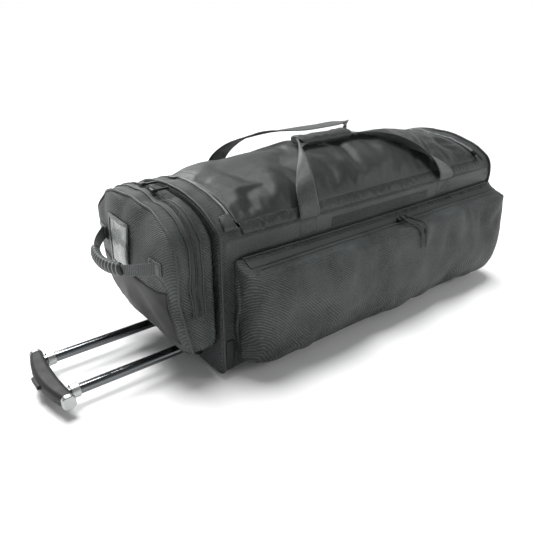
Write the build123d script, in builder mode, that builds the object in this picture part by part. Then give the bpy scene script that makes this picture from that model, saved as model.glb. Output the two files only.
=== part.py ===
"""Rolling duffel bag with a telescoping pull handle, a zipped lid, an end pocket and a side pocket.

The bag lies on its skids and wheels. X runs along the bag, with the pull handle towards -X and the
wheels towards +X. The long side with the pocket faces -Y. The origin is on the ground under the
middle of the centre skid rail. All sizes are in millimetres.
"""

import os
from math import acos, atan2, cos, degrees, radians, sin, sqrt

from build123d import *

os.makedirs("parts", exist_ok=True)

# The main compartment: a box of padded fabric with an arched top.
body_length = 820.0
body_width = 323.0
underside_height = 12.0
shoulder_height = 277.0
end_crown_rise = 68.0
end_crown_height = shoulder_height + end_crown_rise
body_wall = 4.0
bottom_corner_radius = 16.0
seam_gap = 0.3

# The lid, sewn along the near shoulder and zipped round its other three edges.
lid_end_margin = 47.0
lid_side_margin = 12.5
lid_crown_rise = 31.0
lid_length = body_length - 2 * lid_end_margin
lid_width = body_width - 2 * lid_side_margin
lid_crown_height = end_crown_height + lid_crown_rise
lid_thickness = 5.0
lid_gap = 3.0
zipper_tape_width = 13.0
zipper_thickness = 1.6
zipper_tab_length = 38.0

# The side pocket on the near side.
side_pocket_start_inset = 30.0
side_pocket_end_inset = 5.0
side_pocket_start = side_pocket_start_inset - body_length / 2
side_pocket_end = body_length / 2 - side_pocket_end_inset
side_pocket_depth = 67.0
side_pocket_bottom = 14.0
side_pocket_top_drop = 39.0
side_pocket_slope = 16.0
side_pocket_wall_height = shoulder_height - side_pocket_top_drop
side_pocket_edge_height = side_pocket_wall_height - side_pocket_slope
side_pocket_wall = 3.0
side_zipper_offset = 30.0
side_zipper_width = 24.0
side_zipper_margin = 22.0

# The end pocket under the handle end's arch.
end_pocket_depth = 80.0
end_pocket_side_margin = 3.5
end_pocket_width = body_width - 2 * end_pocket_side_margin
end_pocket_bottom = 54.0
end_pocket_corner_radius = 52.0
end_pocket_taper_drop = 97.0
end_pocket_taper_height = shoulder_height - end_pocket_taper_drop
end_pocket_foot_depth = 46.0
end_pocket_wall = 3.0
end_zipper_distance = 42.0
end_zipper_width = 14.0
end_zipper_bottom = 150.0

# Welts, webbing and patches.
welt_width = 5.0
welt_height = 2.6
webbing_width = 50.0
webbing_thickness = 2.5
band_drop = 33.0
band_bottom = shoulder_height - band_drop
band_width = 40.0
hook_strip_start = -145.0
hook_strip_length = 310.0
hook_strip_width = 24.0
patch_thickness = 2.0

# The carry handles, which lean over the lid, and the wrap that holds them together.
handle_spacing = 420.0
handle_middle = 5.0
handle_left = handle_middle - handle_spacing / 2
handle_right = handle_middle + handle_spacing / 2
handle_pivot_rise = 9.0
handle_pivot_height = shoulder_height + handle_pivot_rise
near_handle_inset = 65.5
near_handle_foot_drop = 8.0
near_handle_lift = 15.0
near_handle_rise_y = body_width / 2 - near_handle_inset
near_handle_rise = lid_crown_height - near_handle_foot_drop
near_handle_top = lid_crown_height + near_handle_lift
far_handle_inset = 43.5
far_handle_foot_rise = 2.0
far_handle_lift = 28.0
far_handle_rise_y = body_width / 2 - far_handle_inset
far_handle_rise = lid_crown_height + far_handle_foot_rise
far_handle_top = lid_crown_height + far_handle_lift
grip_left = -115.0
grip_length = 148.0
wrap_back = 6.0
wrap_width = 46.0
wrap_height = 22.0
wrap_hem = 3.0
strap_run_margin = 14.0
far_run_clearance = 4.0

# The end handle: a moulded grip on a short strap, hinged at its two anchors.
end_handle_side_margin = 46.0
end_handle_drop = 32.0
end_handle_spread = end_pocket_width / 2 - end_handle_side_margin
end_handle_height = shoulder_height - end_handle_drop
end_handle_reach = 60.0
end_handle_droop = 14.0
end_handle_stand_off = 6.0
end_handle_strap_width = 25.0
end_handle_strap_thickness = 4.0
end_grip_half_angle = 26.0
end_grip_radius = 9.0
end_grip_height = 27.0
end_anchor_width = 44.0
end_anchor_height = 34.0

# The ID pocket on the end face.
id_anchor_gap = 15.0
id_drop = 34.0
id_height = shoulder_height - id_drop
id_width = 86.0
id_centre = end_handle_spread - end_anchor_width / 2 - id_anchor_gap - id_width / 2
id_tall = 100.0
id_border = 7.0
id_card_margin = 6.0
card_thickness = 0.8
film_thickness = 0.6
binding_thickness = 3.0

# The pull handle: inner tubes that slide in fixed outer tubes under a false floor.
tube_spacing = 124.0
tube_height = 34.0
inner_tube_diameter = 20.0
inner_tube_wall = 1.5
inner_tube_end = -68.0
tube_fit = 0.06
outer_tube_clearance = 0.5
outer_tube_wall = 1.5
outer_tube_bore = inner_tube_diameter + 2 * outer_tube_clearance
outer_tube_diameter = outer_tube_bore + 2 * outer_tube_wall
outer_tube_end_inset = 120.0
outer_tube_end = body_length / 2 - outer_tube_end_inset
bezel_thickness = 10.0
bezel_side_margin = 22.0
bezel_edge_margin = 6.0
bezel_width = tube_spacing + 2 * bezel_side_margin
bezel_bottom = tube_height - inner_tube_diameter / 2 - bezel_edge_margin
bezel_top = tube_height + inner_tube_diameter / 2 + bezel_edge_margin
bezel_flange = 3.0
end_block_length = 22.0
board_thickness = 3.0
false_floor_gap = 1.0
false_floor_height = bezel_top + false_floor_gap
collar_wall = 3.0
collar_diameter = inner_tube_diameter + 2 * collar_wall
collar_length = 15.0

# The pull handle's grip.
grip_stand_off = 254.0
grip_inner_x = -body_length / 2 - grip_stand_off
grip_depth = 38.0
grip_bow = 14.0
grip_side_margin = 21.0
grip_edge_margin = 3.5
grip_span = tube_spacing + 2 * grip_side_margin
grip_height = inner_tube_diameter + 2 * grip_edge_margin
grip_cap_length = 9.0
grip_cap_edge_radius = 3.0
tube_socket_depth = 16.0
inner_tube_length = inner_tube_end - grip_inner_x + tube_socket_depth
button_width = 36.0
button_height = 9.0
button_travel = 4.0
button_proud = 5.0
button_fit = 0.4
button_edge_radius = 1.2
cross_bar_depth = 4.0
spring_pocket_depth = 4.5
rod_diameter = 5.0
rod_end_clearance = 52.0
rod_length = inner_tube_length - rod_end_clearance
latch_plug_length = 20.0
screw_diameter = 4.0
screw_head = 2.4
screw_grip = 8.0
spring_diameter = 7.0
spring_wire = 0.9

# The wheels, in housings set into the bottom corners of the wheel end.
wheel_diameter = 70.0
wheel_width = 22.0
wheel_end_gap = 9.0
wheel_side_inset = 35.5
wheel_x = body_length / 2 - wheel_end_gap - wheel_diameter / 2
wheel_y = body_width / 2 - wheel_side_inset
tyre_thickness = 8.0
tyre_edge_radius = 4.0
hub_hole_count = 5
hub_hole_radius = 4.2
axle_diameter = 8.0
axle_fit = 0.05
bearing_diameter = 19.0
bearing_width = 6.0
housing_margin = 20.0
housing_length = wheel_diameter + housing_margin
housing_width = 56.0
housing_height = wheel_diameter
well_clearance = 4.0
skid_width = 14.0
skid_start_inset = 18.0
skid_wheel_gap = 44.0
skid_side_inset = 57.5
skid_start = skid_start_inset - body_length / 2
skid_end = body_length / 2 - wheel_diameter - skid_wheel_gap
skid_spacing = body_width / 2 - skid_side_inset
kick_plate_height = 78.0
kick_plate_thickness = 2.5
rivet_diameter = 9.0
rivet_head = 2.0
rivet_margin = 14.0
rivet_edge_radius = 1.4
corner_guard_gap = 3.0
corner_guard_height = 84.0
corner_guard_thickness = 2.0
corner_guard_reach = 48.0

# Zipper sliders and their cord pulls.
slider_length = 15.0
slider_width = 11.0
slider_height = 6.0
side_slider_x = 30.0
slider_pair_gap = 1.0
slider_clearance = 0.6
pull_width = 5.0
pull_thickness = 3.5
pull_lean = 32.0
pull_lift = 6.0
pull_tip_height = 196.0
pull_tip_length = 20.0
pull_tip_width = 8.5
pull_tip_thickness = 6.0
end_slider_angle = 3.5
end_pull_length = 30.0
arch_lift = 0.8
lid_slider_angle = 40.0
lid_slider_rest = 7.0
lid_slider_lift = 3.0

half_length = body_length / 2
half_width = body_width / 2


def save(piece, name):
    """Labels a finished sub-part and writes its STEP file."""
    piece.part.label = name
    export_step(piece.part, f"parts/{name}.step")


def arch_section(plane, width, bottom, crown, corner):
    """Returns the bag's cross-section: a box with rounded lower corners and an elliptical top."""
    half = width / 2
    with BuildSketch(plane) as section:
        with BuildLine():
            Polyline((-half, shoulder_height), (-half, bottom), (half, bottom), (half, shoulder_height))
            EllipticalCenterArc((0, shoulder_height), half, crown - shoulder_height, arc_size=180)
        make_face()
        fillet(section.vertices().group_by(Axis.Y)[0], corner)
    return section.sketch


def grown_section(plane, growth):
    """Returns the main compartment's section, grown outwards by the given distance."""
    return arch_section(
        plane,
        body_width + 2 * growth,
        underside_height - growth,
        end_crown_height + growth,
        bottom_corner_radius + growth,
    )


# Main shell: padded fabric walls, open at the top under the lid.
opening_length = lid_length + 2 * lid_gap
opening_width = lid_width + 2 * (lid_gap + 1)
housing_inner_y = wheel_y - housing_width / 2
with BuildPart() as main_shell:
    extrude(grown_section(Plane.YZ, 0), amount=half_length, both=True)
    extrude(
        grown_section(Plane.YZ, -body_wall),
        amount=half_length - body_wall,
        both=True,
        mode=Mode.SUBTRACT,
    )
    with BuildSketch(Plane.XY.offset(shoulder_height)):
        Rectangle(opening_length, opening_width)
    extrude(amount=end_crown_height, mode=Mode.SUBTRACT)
    with BuildSketch(Plane.YZ.offset(-half_length)):
        with Locations((0, (bezel_bottom + bezel_top) / 2)):
            Rectangle(bezel_width - 2 * bezel_flange, bezel_top - bezel_bottom)
    extrude(amount=2 * body_wall, mode=Mode.SUBTRACT)
    with BuildSketch(Plane.XY):
        for side in (-1, 1):
            with Locations((half_length, side * half_width)):
                Rectangle(
                    2 * (housing_length + seam_gap),
                    2 * (half_width - housing_inner_y + seam_gap),
                )
    extrude(amount=underside_height + housing_height + seam_gap, mode=Mode.SUBTRACT)
save(main_shell, "main_shell")

# Floor board: the stiff sheet that the tubes and skids are screwed to.
board_bottom = underside_height + body_wall + seam_gap
board_width = body_width - 2 * body_wall - 4
with BuildPart() as floor_board:
    with BuildSketch(Plane.XY.offset(board_bottom)):
        Rectangle(2 * (half_length - body_wall - 8), board_width - 2 * bottom_corner_radius)
        with Locations((half_length, 0)):
            for side in (-1, 1):
                with Locations((0, side * half_width)):
                    Rectangle(
                        2 * (housing_length + 2),
                        2 * (half_width - housing_inner_y + 2),
                        mode=Mode.SUBTRACT,
                    )
    extrude(amount=1.4)
save(floor_board, "floor_board")

# False floor: the panel that covers the tubes inside the main compartment.
with BuildPart() as false_floor:
    with BuildSketch(Plane.XY.offset(false_floor_height)):
        Rectangle(2 * (half_length - body_wall - 2), board_width)
        for side in (-1, 1):
            with Locations((half_length, side * half_width)):
                Rectangle(
                    2 * (housing_length + 2),
                    2 * (half_width - housing_inner_y + 2),
                    mode=Mode.SUBTRACT,
                )
    extrude(amount=board_thickness)
save(false_floor, "false_floor")

# Outer tubes: fixed guides for the pull handle, between the bezel and the end block.
tube_plane = Plane.YZ
outer_tube_start = -half_length + body_wall + seam_gap
with BuildPart() as outer_tubes:
    with BuildSketch(tube_plane.offset(outer_tube_start)):
        with Locations((-tube_spacing / 2, tube_height), (tube_spacing / 2, tube_height)):
            Circle(outer_tube_diameter / 2)
            Circle(outer_tube_bore / 2, mode=Mode.SUBTRACT)
    extrude(amount=outer_tube_end - outer_tube_start)
save(outer_tubes, "outer_tubes")

# End block: ties the outer tubes' inner ends together.
with BuildPart() as tube_end_block:
    with BuildSketch(tube_plane.offset(outer_tube_end)):
        with Locations((0, tube_height)):
            Rectangle(tube_spacing + outer_tube_diameter + 12, outer_tube_diameter + 4)
    extrude(amount=end_block_length)
    fillet(tube_end_block.edges().filter_by(Axis.X), 3)
save(tube_end_block, "tube_end_block")

# Bezel: the moulded frame in the end wall that the inner tubes slide through.
bezel_middle = (bezel_bottom + bezel_top) / 2
bezel_tall = bezel_top - bezel_bottom
with BuildPart() as tube_bezel:
    with BuildSketch(tube_plane.offset(-half_length - seam_gap)):
        with Locations((0, bezel_middle)):
            RectangleRounded(bezel_width, bezel_tall, 6)
    extrude(amount=-bezel_thickness)
    fillet(tube_bezel.faces().sort_by(Axis.X)[0].edges(), 2)
    with BuildSketch(tube_plane.offset(-half_length - seam_gap)):
        with Locations((0, bezel_middle)):
            Rectangle(
                bezel_width - 2 * bezel_flange - 2 * seam_gap,
                bezel_tall - 2 * seam_gap,
            )
    extrude(amount=body_wall + seam_gap)
    with BuildSketch(tube_plane.offset(-half_length - 2 * bezel_thickness)):
        with Locations((-tube_spacing / 2, tube_height), (tube_spacing / 2, tube_height)):
            Circle(inner_tube_diameter / 2 + tube_fit)
    extrude(amount=4 * bezel_thickness, mode=Mode.SUBTRACT)
save(tube_bezel, "tube_bezel")

# Skid rails: three moulded runners under the bag.
with BuildPart() as skid_rails:
    with BuildSketch(Plane.XY):
        for row in (-1, 0, 1):
            with Locations(((skid_start + skid_end) / 2, row * skid_spacing)):
                SlotOverall(skid_end - skid_start, skid_width)
    extrude(amount=underside_height)
    fillet(skid_rails.faces().filter_by(Axis.Z).group_by(Axis.Z)[0].edges(), 3)
save(skid_rails, "skid_rails")

# Wheel housings: moulded cups in the bottom corners, each with a well open below and behind.
with BuildPart() as wheel_housings:
    for side in (-1, 1):
        with BuildSketch(Plane.XY.offset(underside_height)):
            with Locations((half_length - housing_length / 2, side * wheel_y)):
                Rectangle(housing_length, housing_width)
        extrude(amount=housing_height)
    fillet(wheel_housings.edges().filter_by(Axis.Z).group_by(Axis.X)[-1], 8)
    for side in (-1, 1):
        with BuildSketch(Plane.XZ.offset(-side * wheel_y)):
            with Locations((wheel_x, wheel_diameter / 2)):
                Circle(wheel_diameter / 2 + well_clearance)
            with Locations((half_length, underside_height)):
                Rectangle(2 * (half_length - wheel_x), wheel_diameter)
        extrude(amount=wheel_width / 2 + well_clearance, both=True, mode=Mode.SUBTRACT)
        with BuildSketch(Plane.XZ.offset(-side * wheel_y)):
            with Locations((wheel_x, wheel_diameter / 2)):
                Circle(axle_diameter / 2)
        extrude(amount=housing_width, both=True, mode=Mode.SUBTRACT)
save(wheel_housings, "wheel_housings")

# Axles: one plain pin for each wheel, held by its housing on both sides.
with BuildPart() as axles:
    for side in (-1, 1):
        with BuildSketch(Plane.XZ.offset(-side * wheel_y)):
            with Locations((wheel_x, wheel_diameter / 2)):
                Circle(axle_diameter / 2)
        extrude(amount=housing_width / 2, both=True)
save(axles, "axles")

# Wheels: a tyre, a hub and a pair of bearings on each side.
hub_radius = wheel_diameter / 2 - tyre_thickness
for side, side_name in ((-1, "near"), (1, "far")):
    wheel_plane = Plane(
        origin=(wheel_x, side * wheel_y, wheel_diameter / 2),
        x_dir=(1, 0, 0),
        z_dir=(0, -1, 0),
    )
    with BuildPart() as tyre:
        with BuildSketch(wheel_plane):
            Circle(wheel_diameter / 2)
            Circle(hub_radius, mode=Mode.SUBTRACT)
        extrude(amount=wheel_width / 2, both=True)
        fillet(tyre.edges().filter_by(GeomType.CIRCLE).group_by(SortBy.RADIUS)[-1], tyre_edge_radius)
    save(tyre, f"tyre_{side_name}")
    with BuildPart() as hub:
        with BuildSketch(wheel_plane):
            Circle(hub_radius)
            Circle(bearing_diameter / 2, mode=Mode.SUBTRACT)
            with PolarLocations((hub_radius + bearing_diameter / 2) / 2, hub_hole_count):
                Circle(hub_hole_radius, mode=Mode.SUBTRACT)
        extrude(amount=wheel_width / 2, both=True)
    save(hub, f"hub_{side_name}")
    with BuildPart() as bearings:
        for end in (-1, 1):
            inset = end * (wheel_width / 2 - bearing_width / 2)
            with BuildSketch(wheel_plane.offset(inset)):
                Circle(bearing_diameter / 2)
                Circle(axle_diameter / 2 + axle_fit, mode=Mode.SUBTRACT)
            extrude(amount=bearing_width / 2, both=True)
    save(bearings, f"bearings_{side_name}")

# Kick plate: a moulded sheet up the wheel end's wall, between the housings.
kick_plate_width = 2 * (housing_inner_y - 4)
with BuildPart() as kick_plate:
    with BuildSketch(Plane.YZ.offset(half_length + seam_gap)):
        with Locations((0, underside_height + kick_plate_height / 2)):
            RectangleRounded(kick_plate_width, kick_plate_height, 10)
    extrude(amount=kick_plate_thickness)
save(kick_plate, "kick_plate")

# Rivets: the kick plate's fixings.
with BuildPart() as kick_plate_rivets:
    with BuildSketch(Plane.YZ.offset(half_length + seam_gap + kick_plate_thickness)):
        with Locations((0, underside_height + kick_plate_height / 2)):
            rivet_pitch = kick_plate_width / 2 - rivet_margin
            with GridLocations(rivet_pitch, kick_plate_height - 2 * rivet_margin, 3, 2):
                Circle(rivet_diameter / 2)
    extrude(amount=rivet_head)
    fillet(kick_plate_rivets.edges().group_by(Axis.X)[-1], rivet_edge_radius)
save(kick_plate_rivets, "kick_plate_rivets")

# Corner guards: smooth coated patches round the handle end's lower corners.
guard_plane = Plane.YZ.offset(-half_length + welt_width)
guard_length = side_pocket_start - corner_guard_gap + half_length - welt_width
with BuildPart() as corner_guards:
    extrude(grown_section(guard_plane, seam_gap + corner_guard_thickness), amount=guard_length)
    extrude(grown_section(guard_plane, seam_gap), amount=guard_length, mode=Mode.SUBTRACT)
    with BuildSketch(guard_plane):
        with Locations((0, corner_guard_height / 2)):
            Rectangle(2 * body_width, corner_guard_height)
            Rectangle(2 * (half_width - corner_guard_reach), corner_guard_height, mode=Mode.SUBTRACT)
    extrude(amount=guard_length, mode=Mode.INTERSECT)
save(corner_guards, "corner_guards")

# Seam welts: piped seams round the main compartment's two ends.
for welt_x, end_name in ((-half_length, "handle_end"), (half_length - welt_width, "wheel_end")):
    with BuildPart() as seam_welt:
        extrude(grown_section(Plane.YZ.offset(welt_x), welt_height), amount=welt_width)
        extrude(grown_section(Plane.YZ.offset(welt_x), seam_gap / 2), amount=welt_width,
                mode=Mode.SUBTRACT)
        with BuildSketch(Plane.YZ.offset(welt_x)):
            with Locations((0, underside_height)):
                Rectangle(2 * body_width, 2 * (housing_height + 4))
        extrude(amount=welt_width, mode=Mode.SUBTRACT)
    save(seam_welt, f"{end_name}_welt")

# Lid: one arched, padded panel, highest at its middle.
lid_half_length = lid_length / 2
lid_half_width = lid_width / 2
lid_edge_angle = degrees(acos(lid_half_width / half_width))
lid_edge_height = shoulder_height + (end_crown_height - shoulder_height) * sin(radians(lid_edge_angle))


def lid_section(x, crown):
    """Returns the lid's arched section, whose edges stay level while its crown rises."""
    rise = (crown - lid_edge_height) / (1 - sin(radians(lid_edge_angle)))
    with BuildSketch(Plane.YZ.offset(x)) as section:
        with BuildLine():
            top = EllipticalCenterArc(
                (0, crown - rise),
                half_width,
                rise,
                start_angle=lid_edge_angle,
                arc_size=180 - 2 * lid_edge_angle,
            )
            bottom = EllipticalCenterArc(
                (0, crown - rise - lid_thickness),
                half_width,
                rise,
                start_angle=lid_edge_angle,
                arc_size=180 - 2 * lid_edge_angle,
            )
            Line(top @ 0, bottom @ 0)
            Line(top @ 1, bottom @ 1)
        make_face()
    return section.sketch


with BuildPart() as lid_panel:
    loft(
        [
            lid_section(-lid_half_length, end_crown_height),
            lid_section(0, lid_crown_height),
            lid_section(lid_half_length, end_crown_height),
        ]
    )
save(lid_panel, "lid_panel")

# Lid zipper: the tape and coil that frame the opening on three sides.
with BuildPart() as lid_zipper:
    extrude(grown_section(Plane.YZ, seam_gap / 2 + zipper_thickness),
            amount=opening_length / 2 + zipper_tape_width, both=True)
    extrude(grown_section(Plane.YZ, seam_gap / 2),
            amount=half_length, both=True, mode=Mode.SUBTRACT)
    with BuildSketch(Plane.XY.offset(shoulder_height + 9)):
        with Locations((0, 12)):
            Rectangle(opening_length + 2 * zipper_tape_width, opening_width)
        Rectangle(opening_length, opening_width, mode=Mode.SUBTRACT)
    extrude(amount=end_crown_height, mode=Mode.INTERSECT)
save(lid_zipper, "lid_zipper")

# Zipper tab: a folded square of webbing over the near end of the lid's left zipper run.
with BuildPart() as zipper_tab:
    with BuildSketch(Plane.XZ.offset(half_width + seam_gap)):
        with Locations((-opening_length / 2 - 4, band_bottom + band_width + 8)):
            Rectangle(zipper_tab_length, 10)
    extrude(amount=patch_thickness)
save(zipper_tab, "zipper_tab")

# Side pocket: a long pouch, hollow, with a slit along its sloping top for the zipper.
pocket_wall_y = -half_width - seam_gap
pocket_front_y = pocket_wall_y - side_pocket_depth
pocket_length = side_pocket_end - side_pocket_start
pocket_middle = (side_pocket_start + side_pocket_end) / 2


def pocket_profile(plane, inset):
    """Returns the side pocket's section, moved inwards by the inset."""
    with BuildSketch(plane) as section:
        with BuildLine():
            Polyline(
                (pocket_wall_y - inset, side_pocket_bottom + inset),
                (pocket_wall_y - inset, side_pocket_wall_height - inset),
                (pocket_front_y + inset, side_pocket_edge_height - inset),
                (pocket_front_y + inset, side_pocket_bottom + inset),
                close=True,
            )
        make_face()
        fillet(section.vertices().group_by(Axis.X)[0].sort_by(Axis.Y)[-1], 22 - inset)
        fillet(section.vertices().group_by(Axis.X)[0].sort_by(Axis.Y)[0], 40 - inset)
    return section.sketch


pocket_slope = (side_pocket_wall_height - side_pocket_edge_height) / side_pocket_depth
zipper_y = pocket_wall_y - side_zipper_offset
zipper_z = side_pocket_wall_height - pocket_slope * side_zipper_offset
slope_length = sqrt(1 + pocket_slope**2)
zipper_plane = Plane(
    origin=(0, zipper_y, zipper_z),
    x_dir=(1, 0, 0),
    z_dir=(0, -pocket_slope / slope_length, 1 / slope_length),
)
with BuildPart() as side_pocket:
    extrude(pocket_profile(Plane.YZ.offset(side_pocket_start), 0), amount=pocket_length)
    extrude(
        pocket_profile(Plane.YZ.offset(side_pocket_start + side_pocket_wall), side_pocket_wall),
        amount=pocket_length - 2 * side_pocket_wall,
        mode=Mode.SUBTRACT,
    )
    with BuildSketch(zipper_plane):
        with Locations((pocket_middle, 0)):
            Rectangle(pocket_length - 2 * side_zipper_margin, side_zipper_width / 2)
    extrude(amount=3 * side_pocket_wall, both=True, mode=Mode.SUBTRACT)
save(side_pocket, "side_pocket")

# Side pocket zipper: the tape that closes the slit, with the coil along its middle.
with BuildPart() as side_pocket_zipper:
    with BuildSketch(zipper_plane.offset(seam_gap / 2)):
        with Locations((pocket_middle, 0)):
            Rectangle(pocket_length - side_zipper_margin, side_zipper_width)
    extrude(amount=zipper_thickness)
save(side_pocket_zipper, "side_pocket_zipper")

# Side bands: webbing sewn along both long sides, which carries the handles' ends.
for side, side_name in ((-1, "near"), (1, "far")):
    with BuildPart() as side_band:
        with BuildSketch(Plane.XZ.offset(-side * (half_width + seam_gap / 2))):
            with Locations((0, band_bottom + band_width / 2)):
                Rectangle(body_length - 4 * welt_width, band_width)
        extrude(amount=-side * webbing_thickness)
    save(side_band, f"{side_name}_side_band")

# Hook strip: a strip of hook-and-loop tape on the near band.
band_face = half_width + seam_gap / 2 + webbing_thickness
with BuildPart() as hook_strip:
    with BuildSketch(Plane.XZ.offset(band_face)):
        with Locations((hook_strip_start + hook_strip_length / 2,
                        band_bottom + 3 + hook_strip_width / 2)):
            Rectangle(hook_strip_length, hook_strip_width)
    extrude(amount=patch_thickness)
save(hook_strip, "hook_strip")

# Handle anchors: the sewn-down ends of the carry handles.
with BuildPart() as handle_anchors:
    for side in (-1, 1):
        with BuildSketch(Plane.XZ.offset(-side * band_face)):
            for leg_x in (handle_left, handle_right):
                with Locations((leg_x, band_bottom + band_width / 2)):
                    Rectangle(webbing_width, band_width)
        extrude(amount=-side * webbing_thickness)
save(handle_anchors, "handle_anchors")

# Carry handles: webbing loops cut in one strip, which rise from the bands and lean over the lid.
strap_pivot_y = band_face + webbing_thickness / 2
grip_right = grip_left + grip_length
wrap_front = wrap_back - wrap_width


def handle_strap(side, rise_y, rise, top_y, top, run_front, run_back):
    """Builds one handle: an arched sheet, cut to the outline of two legs and a run."""
    left_top = grip_left - strap_run_margin
    right_top = grip_right + strap_run_margin
    half_web = webbing_width / 2
    leg_foot = side * (strap_pivot_y + 2 * webbing_thickness)
    with BuildPart() as strap:
        with BuildSketch(Plane.YZ.offset(-half_length)):
            with BuildLine():
                ThreePointArc(
                    (side * strap_pivot_y, handle_pivot_height),
                    (side * rise_y, rise),
                    (top_y, top),
                )
            trace(line_width=webbing_thickness)
        extrude(amount=body_length)
        with BuildSketch(Plane.XY.offset(handle_pivot_height - webbing_width)):
            with BuildLine():
                Polyline(
                    (handle_left - half_web, leg_foot),
                    (left_top - half_web, run_front),
                    (left_top, run_back),
                    (right_top, run_back),
                    (right_top + half_web, run_front),
                    (handle_right + half_web, leg_foot),
                    (handle_right - half_web, leg_foot),
                    (right_top - half_web / 2, run_front),
                    (left_top + half_web / 2, run_front),
                    (handle_left + half_web, leg_foot),
                    close=True,
                )
            make_face()
        extrude(amount=2 * half_width, mode=Mode.INTERSECT)
    return strap


near_handle_strap = handle_strap(
    -1,
    near_handle_rise_y,
    near_handle_rise,
    wrap_back,
    near_handle_top,
    wrap_front + wrap_hem,
    wrap_back - wrap_hem,
)
save(near_handle_strap, "near_handle_strap")

far_run_back = wrap_back + far_run_clearance
far_handle_strap = handle_strap(
    1,
    far_handle_rise_y,
    far_handle_rise,
    far_run_back - webbing_thickness,
    far_handle_top,
    far_run_back + wrap_width - 2 * wrap_hem,
    far_run_back,
)
save(far_handle_strap, "far_handle_strap")

# Handle wrap: a padded sleeve of fabric, closed round the near handle's run.
with BuildPart() as handle_wrap:
    with BuildSketch(Plane.YZ.offset(grip_left)):
        with Locations(((wrap_front + wrap_back) / 2, near_handle_top - 2)):
            RectangleRounded(wrap_width, wrap_height, wrap_height / 2 - 1)
    extrude(amount=grip_length)
save(handle_wrap, "handle_wrap")

# End pocket: a deep pouch against the handle end's wall, tapered to its foot, with a slit round it.
pocket_back_x = -half_length - welt_height
pocket_face_x = -half_length - end_pocket_depth


def end_section(plane, growth):
    """Returns the end pocket's section, grown outwards by the given distance."""
    return arch_section(
        plane,
        end_pocket_width + 2 * growth,
        end_pocket_bottom - growth,
        end_crown_height + growth,
        end_pocket_corner_radius + growth,
    )


def end_pouch(inset):
    """Builds the end pocket's whole volume, moved inwards by the inset."""
    back = pocket_back_x - inset
    face = pocket_face_x + inset
    foot = -half_length - end_pocket_foot_depth + inset
    low = end_pocket_bottom - end_pocket_corner_radius
    with BuildPart() as pouch:
        extrude(end_section(Plane.YZ.offset(back), -inset), amount=face - back)
        with BuildSketch(Plane.XZ):
            with BuildLine():
                Polyline(
                    (foot, low),
                    (back, low),
                    (back, 2 * shoulder_height),
                    (face, 2 * shoulder_height),
                    (face, end_pocket_taper_height),
                )
                ThreePointArc(
                    (face, end_pocket_taper_height),
                    ((2 * face + foot) / 3, (end_pocket_taper_height + 3 * low) / 4),
                    (foot, low),
                )
            make_face()
        extrude(amount=body_width, both=True, mode=Mode.INTERSECT)
    return pouch


zipper_x = -half_length - end_zipper_distance
outer_pouch = end_pouch(0).part
inner_pouch = end_pouch(end_pocket_wall).part
with BuildPart() as end_pocket:
    add(outer_pouch)
    add(inner_pouch, mode=Mode.SUBTRACT)
    with BuildSketch(Plane.YZ.offset(zipper_x - end_zipper_width / 4)):
        with Locations((0, end_zipper_bottom + shoulder_height)):
            Rectangle(2 * body_width, 2 * shoulder_height)
    extrude(amount=end_zipper_width / 2, mode=Mode.SUBTRACT)
save(end_pocket, "end_pocket")


def end_skin(start_x, length, low_growth, high_growth, bottom):
    """Builds a band that lies over the end pocket's gusset, above a given height."""
    with BuildPart() as skin:
        extrude(end_section(Plane.YZ.offset(start_x), high_growth), amount=length)
        extrude(end_section(Plane.YZ.offset(start_x), low_growth), amount=length, mode=Mode.SUBTRACT)
        with BuildSketch(Plane.YZ.offset(start_x)):
            with Locations((0, bottom + shoulder_height)):
                Rectangle(2 * body_width, 2 * shoulder_height)
        extrude(amount=length, mode=Mode.INTERSECT)
    return skin


# End pocket zipper: the tape over the slit, and the welt round the pocket's face.
end_pocket_zipper = end_skin(
    zipper_x - end_zipper_width / 2,
    end_zipper_width,
    seam_gap / 2,
    seam_gap / 2 + zipper_thickness,
    end_zipper_bottom - end_zipper_width / 2,
)
save(end_pocket_zipper, "end_pocket_zipper")
end_pocket_welt = end_skin(
    pocket_face_x,
    welt_width,
    seam_gap / 2,
    welt_height,
    end_pocket_taper_height,
)
save(end_pocket_welt, "end_pocket_welt")

# ID pocket: a bound window on the end face, with a card behind clear film.
face_plane = Plane.YZ.offset(pocket_face_x - seam_gap / 2)
with BuildPart() as id_binding:
    with BuildSketch(face_plane):
        with Locations((id_centre, id_height)):
            Rectangle(id_width, id_tall)
            Rectangle(id_width - 2 * id_border, id_tall - 2 * id_border, mode=Mode.SUBTRACT)
    extrude(amount=-binding_thickness)
save(id_binding, "id_binding")
with BuildPart() as id_card:
    with BuildSketch(face_plane):
        with Locations((id_centre, id_height)):
            card_inset = 2 * id_border + id_card_margin
            Rectangle(id_width - card_inset, id_tall - card_inset)
    extrude(amount=-card_thickness)
save(id_card, "id_card")
with BuildPart() as id_window:
    with BuildSketch(face_plane.offset(-card_thickness - seam_gap)):
        with Locations((id_centre, id_height)):
            Rectangle(id_width - 2 * id_border, id_tall - 2 * id_border)
    extrude(amount=-film_thickness)
save(id_window, "id_window")

# End handle anchors: folded webbing sewn to the end face.
with BuildPart() as end_handle_anchors:
    with BuildSketch(face_plane):
        for side in (-1, 1):
            with Locations((side * end_handle_spread, end_handle_height)):
                Rectangle(end_anchor_width, end_anchor_height)
    extrude(amount=-webbing_thickness)
save(end_handle_anchors, "end_handle_anchors")

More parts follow.
